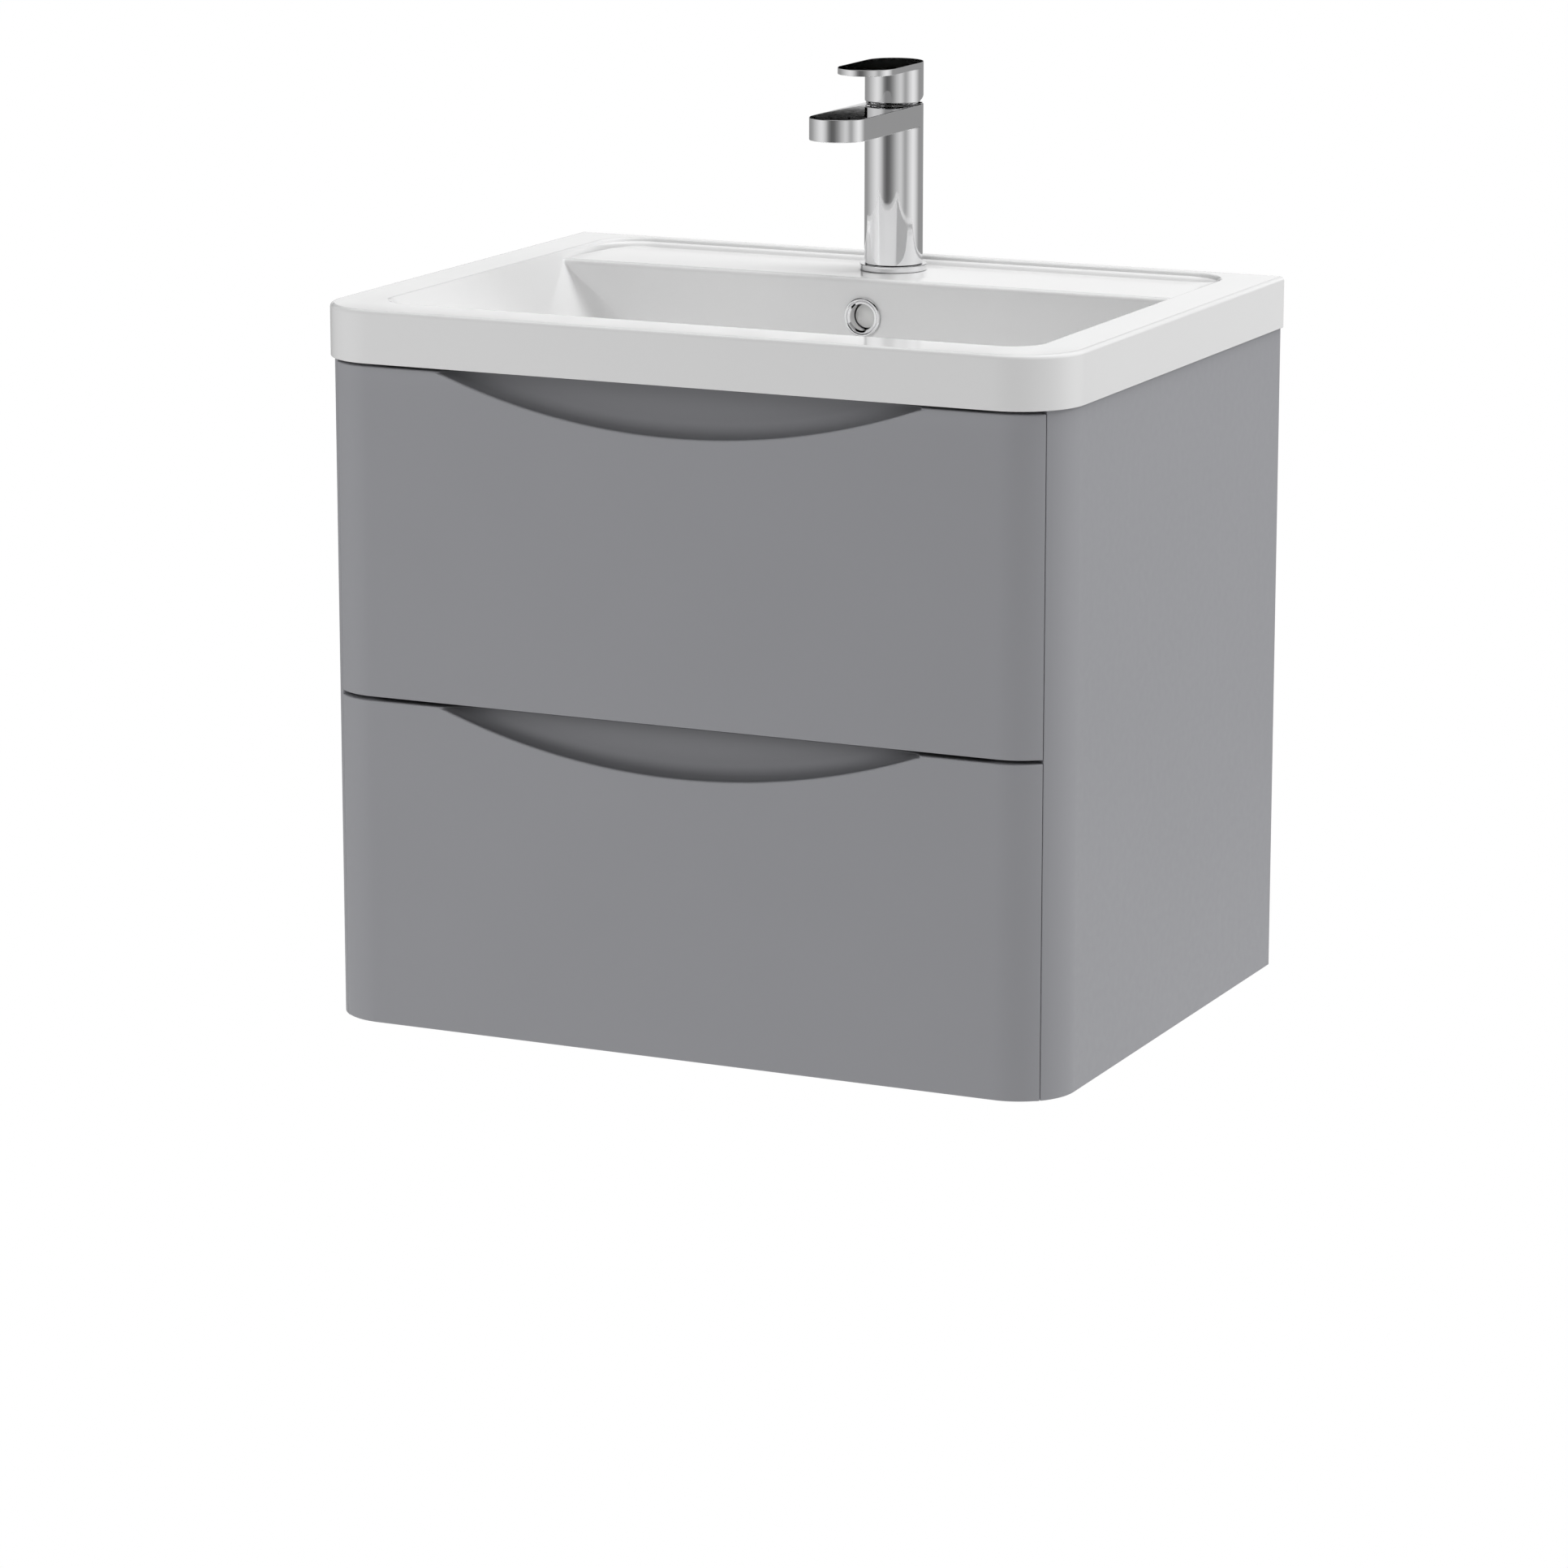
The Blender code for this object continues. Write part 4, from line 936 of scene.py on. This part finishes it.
def tap_fittings():
    """Fittings on the tap's own axis; heights are from the rim."""
    centre = (0, TAP_Y, RIM)
    collar = [(0.0100, SPOUT_HIGH + 0.0003), (0.0221, SPOUT_HIGH + 0.0003)]
    collar += arc((0.0221, SPOUT_HIGH + 0.0052), 0.0045, 270, 180, 12)
    collar += [(0.0172, SPOUT_HIGH + 0.0060), (0.0100, SPOUT_HIGH + 0.0062)]
    body = [(0, 0.0871), (0.0155, 0.0871), (0.0155, 0.1190), (0.0090, 0.1190), (0.0090, 0.1120), (0, 0.1120)]
    stand_in(turned(tube(0.0180, 0.0264, -0.0047, 0.0), centre, edge=0.0005), "tap_base_ring")
    stand_in(turned(collar, centre, edge=0.0003), "tap_cartridge_nut")
    stand_in(turned(body, centre), "tap_cartridge")
    stand_in(turned(rod(0.0086, 0.1123, 0.1232), centre), "tap_rotor")
    stand_in(board(*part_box("tap_stem"), 0.0004), "tap_stem")
    stand_in(turned(rod(0.0050, -0.085, -0.0125), centre, steps=48), "tap_stud")
    stand_in(turned(tube(0.0168, 0.0265, -0.0233, -0.0203), centre), "tap_fixing_seal")
    stand_in(turned(tube(0.0168, 0.0250, -0.0320, -0.0236), centre), "tap_fixing_spacer")
    stand_in(turned(tube(0.0053, 0.0260, -0.0353, -0.0323), centre), "tap_fixing_plate")
    stand_in(nut(0.017, 0.0053, -0.0456, -0.0356, centre), "tap_fixing_nut")


def overflow_ring():
    """The trim ring, with a moulded baffle behind it that leaves a slot on one side."""
    back = BOWL_BACK - BACK_SLOPE * OVERFLOW_DROP - 0.0002
    centre = (0, back, RIM - OVERFLOW_DROP)
    bead = arc((0.0139, 0.0009), 0.0013, -10, 185, 12)
    profile = [(0.0100, -0.008), (0.0120, -0.008), (0.0120, 0.0003), (0.0150, 0.0004)]
    profile += [*bead[:-1], (0.0125, 0.0012), (0.0122, 0.0018), (0.0103, 0.0011)]
    stand_in(turned(profile, centre, TO_FRONT, edge=0.0003, steps=128), "overflow_ring", sharp=60)
    baffle = turned(rod(0.0095, -0.0094, -0.0078), centre, TO_FRONT)
    slot = rectangle((-0.0080, RIM - 0.0388), (-0.0042, RIM - 0.0322))
    carve(extra(baffle, "overflow_baffle", "white_plastic"),
          soft_prism(slot, back, back + 0.0086, "Y", 0.0003, 0.0001))


# ---- waste and trap
def waste():
    """Heights are from the bowl's floor."""
    centre = (0, WASTE_Y, FLOOR)
    profile = [(0.0180, -0.075), (0.0205, -0.075), (0.0205, -0.0022), (0.0320, -0.0022), (0.0320, -0.0005)]
    profile += [(0.0300, 0.0008), (0.0215, 0.0002), (0.0180, -0.0035)]
    flange = stand_in(turned(profile, centre, edge=0.0005), "waste_flange")
    slot = rectangle((-0.007, DUCT_BOTTOM + 0.003), (0.007, DUCT_BOTTOM + 0.013))
    carve(flange, soft_prism(slot, WASTE_Y + 0.010, WASTE_Y + 0.030, "Y", 0.002, 0.0001))
    extra(turned(tube(0.0042, 0.0075, -0.039, -0.029), centre, steps=48), "waste_guide_hub", "chrome")
    for word, side in SIDES:
        x = sorted((side * 0.0070, side * 0.0184))
        extra(board((x[0], WASTE_Y - 0.0025, FLOOR - 0.037), (x[1], WASTE_Y + 0.0025, FLOOR - 0.031), 0.0004),
              f"waste_guide_arm_{word}", "chrome")
    plug = [(0, -0.045), (0.0039, -0.045), (0.0039, -0.0012), (0.0150, -0.0012), (0.0170, 0.0010)]
    plug += [(0.0290, 0.0012), (0.0290, 0.0022), (0.0275, 0.0034), (0.0240, 0.0046), (0.0140, 0.0060)]
    stand_in(turned([*plug, (0, 0.0064)], centre, edge=0.0006), "waste_plug")
    under = DUCT_BOTTOM - FLOOR
    stand_in(turned(tube(0.0208, 0.0300, under - 0.0033, under - 0.0003), centre), "waste_seal")
    stand_in(nut(0.056, 0.0208, under - 0.0106, under - 0.0036, centre), "waste_backnut")


def bottle_trap():
    centre = (0, WASTE_Y, TRAP_Z)
    edge, steps = 0.0010, 192
    stand_in(turned(tube(0.0208, 0.0275, 0.006, 0.024), centre, None, edge, steps,
                    (24, 0.0012, 0.0262, 0.0070, 0.0215)), "trap_inlet_nut")
    bottle = [(0.0150, -0.0005), (0.0208, -0.0005), (0.0208, 0.0057), (0.0285, 0.0057), (0.0285, -0.004)]
    bottle += [(0.0300, -0.010), (0.0300, -0.068), (0.0275, -0.068), (0.0275, -0.012), (0.0150, -0.0035)]
    body = stand_in(turned(bottle, centre, edge=edge), "trap_bottle")
    outlet = (0, WASTE_Y, OUTLET_Z)
    carve(body, turned(rod(0.0144, 0.020, 0.060), outlet, TO_WALL, 0.0001))
    port = turned(tube(0.0145, 0.0180, 0.0280, 0.050), outlet, TO_WALL, 0.0005)
    extra(port, "trap_outlet_port", "white_plastic")
    cup = [(0, -0.086), (0.0270, -0.086), (0.0325, -0.080), (0.0325, -0.060)]
    cup += [(0.0303, -0.060), (0.0303, -0.0683), (0.0265, -0.0795), (0, -0.0825)]
    stand_in(turned(cup, centre, None, edge, steps, (30, 0.0011, 0.0315, -0.0790, -0.0620)), "trap_cup")


def trap_outlet():
    """From the bottle's port to the wall; lengths are from the waste's centre line."""
    centre = (0, WASTE_Y, OUTLET_Z)
    wall = -WASTE_Y
    stand_in(turned(tube(0.0183, 0.0245, 0.038, 0.054), centre, TO_WALL, 0.0010, 192,
                    (22, 0.0011, 0.0232, 0.0390, 0.0530)), "trap_outlet_nut")
    stand_in(turned(tube(0.0130, 0.0160, 0.0503, wall), centre, TO_WALL, 0.0003), "trap_outlet_pipe")
    rose = [(0.0163, wall - 0.007), (0.0230, wall - 0.0062), (0.0300, wall - 0.0042), (0.0340, wall - 0.0015)]
    stand_in(turned([*rose, (0.0340, wall), (0.0163, wall)], centre, TO_WALL, 0.0006), "wall_flange")


# ---- stage
UNSEEN = {"diffuse": False, "shadow": False, "transmission": False, "volume_scatter": False}
BACKDROP = {**UNSEEN, "glossy": False}  # only the camera sees it
CARD = {**UNSEEN, "camera": False}  # only reflections see it


def glow(name, strength, ramp=None):
    """A plain emitting finish; ramp gives (azimuth in degrees, brightness) stops."""
    m = Nodes(name)
    emit = m.add("ShaderNodeEmission", {"Strength": strength})
    if ramp is not None:
        place = m.axes()
        turn = m.calculate("ARCTAN2", place[0], m.calculate("MULTIPLY", place[1], -1.0))
        table = m.add("ShaderNodeValToRGB", {"Fac": m.spread(turn, 0, 1, -math.pi, math.pi)})
        stops = table.color_ramp.elements
        while len(stops) < len(ramp):
            stops.new(1.0)
        for stop, (azimuth, value) in zip(stops, ramp):
            stop.position = (azimuth + 180) / 360
            stop.color = (value, value, value, 1)
        m.tree.links.new(table.outputs[0], emit.inputs["Color"])
    m.tree.links.new(emit.outputs[0], m.tree.nodes["Material Output"].inputs["Surface"])
    m.material.cycles.emission_sampling = "NONE"
    return m.material


def stage_piece(name, shape, material, seen_by):
    item = mesh_object(name, shape, material)
    for kind, value in seen_by.items():
        setattr(item, "visible_" + kind, value)


def flat_disc(radius, centre):
    shape = bmesh.new()
    bmesh.ops.create_circle(shape, cap_ends=True, segments=64, radius=radius)
    bmesh.ops.translate(shape, verts=shape.verts, vec=centre)
    return shape


def open_drum(radius, low, high, start=-180, end=180, steps=96):
    """A wall round the scene between two azimuths, measured from the front."""
    turns = [math.radians(start + (end - start) * step / steps) for step in range(steps + 1)]
    shape = bmesh.new()
    lower, upper = [loop_of(shape, [(radius * math.sin(a), -radius * math.cos(a), z) for a in turns])
                    for z in (low, high)]
    for step in range(steps):
        shape.faces.new((lower[step], lower[step + 1], upper[step + 1], upper[step]))
    return shape


def backdrop():
    """A white room for the camera, and the floor's light on the cabinet."""
    room = bmesh.new()
    bmesh.ops.create_uvsphere(room, u_segments=64, v_segments=32, radius=40)
    stage_piece("studio_floor", flat_disc(39, (0, 0, -6)), glow("studio_floor_white", 1.0), BACKDROP)
    stage_piece("studio_bounce", flat_disc(39, (0, 0, GROUND + 0.002)),
                glow("studio_bounce_white", FLOOR_BOUNCE), {"camera": False})
    stage_piece("studio_backdrop", room, glow("studio_backdrop_white", 1.0), BACKDROP)


def reflected_cards():
    """Grey and white cards that only the chrome and the glaze reflect."""
    lower = [(-180, 0.33), (-115, 0.335), (-99, 0.38), (-87, 0.48), (-72, 0.62), (-58, 0.77), (-46, 0.87),
             (-36, 0.80), (-27, 0.62), (-20, 0.41), (-13, 0.22), (-4, 0.125), (6, 0.15), (19, 0.30),
             (32, 0.53), (45, 0.70), (52, 0.68), (65, 0.43), (71, 0.43), (86, 0.72), (100, 0.92),
             (109, 0.89), (118, 0.75), (128, 0.55), (139, 0.34), (180, 0.33)]
    upper = [(-180, 0.5), (-100, 0.5), (-60, 0.75), (-30, 0.70), (-10, 0.30), (15, 0.30), (40, 0.65),
             (70, 0.55), (110, 0.85), (150, 0.5)]
    radius, split = 2.4, 0.35
    stage_piece("studio_cards", open_drum(radius, GROUND, split), glow("studio_cards_grey", 1.0, lower), CARD)
    stage_piece("studio_upper_cards", open_drum(radius, split, 1.1, -105, 150),
                glow("studio_upper_grey", 1.0, upper), CARD)
    strip = bmesh.new()
    corners = rectangle((-1.7, RIM + 0.120), (0.7, RIM + 0.262))
    strip.faces.new(loop_of(strip, [(x, 1.0, z) for x, z in corners]))
    stage_piece("studio_strip_card", strip, glow("studio_strip_white", 0.85), CARD)
    stage_piece("studio_ceiling_card", flat_disc(3.5, (0, 1.0, 6.0)), glow("studio_ceiling_grey", 1.0), CARD)


def sky():
    """Soft light from round patches of the sky."""
    world = bpy.data.worlds.new("studio_light")
    world.cycles_visibility.glossy = False
    bpy.context.scene.world = world
    world.use_nodes = True
    tree = world.node_tree
    where = tree.nodes.new("ShaderNodeTexCoord").outputs["Generated"]
    patches = []
    for strength, toward, edge, full in SKY.values():
        aim = add_node(tree, "ShaderNodeVectorMath", {0: where, 1: Vector(toward).normalized()},
                       operation="DOT_PRODUCT")
        fade = add_node(tree, "ShaderNodeMapRange", {
            "Value": aim.outputs["Value"], "From Min": edge, "From Max": full, "To Max": strength},
            interpolation_type="SMOOTHSTEP")
        patches.append(fade.outputs[0])
    total = add_node(tree, "ShaderNodeMath", dict(enumerate(patches)))
    tree.links.new(total.outputs[0], tree.nodes["Background"].inputs["Strength"])
    tree.nodes["Background"].inputs["Color"].default_value = (1, 1, 1, 1)


def aimed(item, place, direction):
    """Put a lamp or camera in place, facing that way."""
    item.location = place
    item.rotation_mode = "QUATERNION"
    item.rotation_quaternion = direction.to_track_quat("-Z", "Y")
    return item


def softboxes():
    distance, target = 3.5, Vector((0, -0.22, -0.15))
    for name, (azimuth, height, power) in SOFTBOXES.items():
        turn = math.radians(azimuth)
        place = Vector((distance * math.sin(turn), -distance * math.cos(turn), height))
        data = bpy.data.lights.new(name, "AREA")
        data.shape = "SQUARE"
        data.size = 1.8
        data.energy = power
        aimed(link_object(name, data), place, target - place).visible_glossy = False


def camera():
    """The photo's own view, from a pinhole camera fitted to the rim and the cabinet."""
    turn, rise = math.radians(24.993), math.radians(12.988)
    back = Vector((math.sin(turn) * math.cos(rise), -math.cos(turn) * math.cos(rise), math.sin(rise)))
    data = bpy.data.cameras.new("camera")
    data.sensor_width = 36
    data.lens = 137.55
    data.clip_end = 100
    scene = bpy.context.scene
    scene.camera = aimed(link_object("camera", data), (1.888, -4.313, 0.750), -back)
    scene.view_settings.view_transform = "Standard"


camera()
backdrop()
reflected_cards()
sky()
softboxes()
basin()
overflow_duct()
drawer_front("upper_drawer_front", CABINET_TOP - FRONT_GAP)
drawer_front("lower_drawer_front", CABINET_TOP - 2 * FRONT_GAP - FRONT_HEIGHT)
side_panel("side_panel_left", -1)
side_panel("side_panel_right", 1)
plain_boards()
drawer_sides()
notched_floor("upper_drawer_floor")
runner_members()
wall_brackets()
tap_body()
tap_lever()
tap_fittings()
overflow_ring()
waste()
bottle_trap()
trap_outlet()
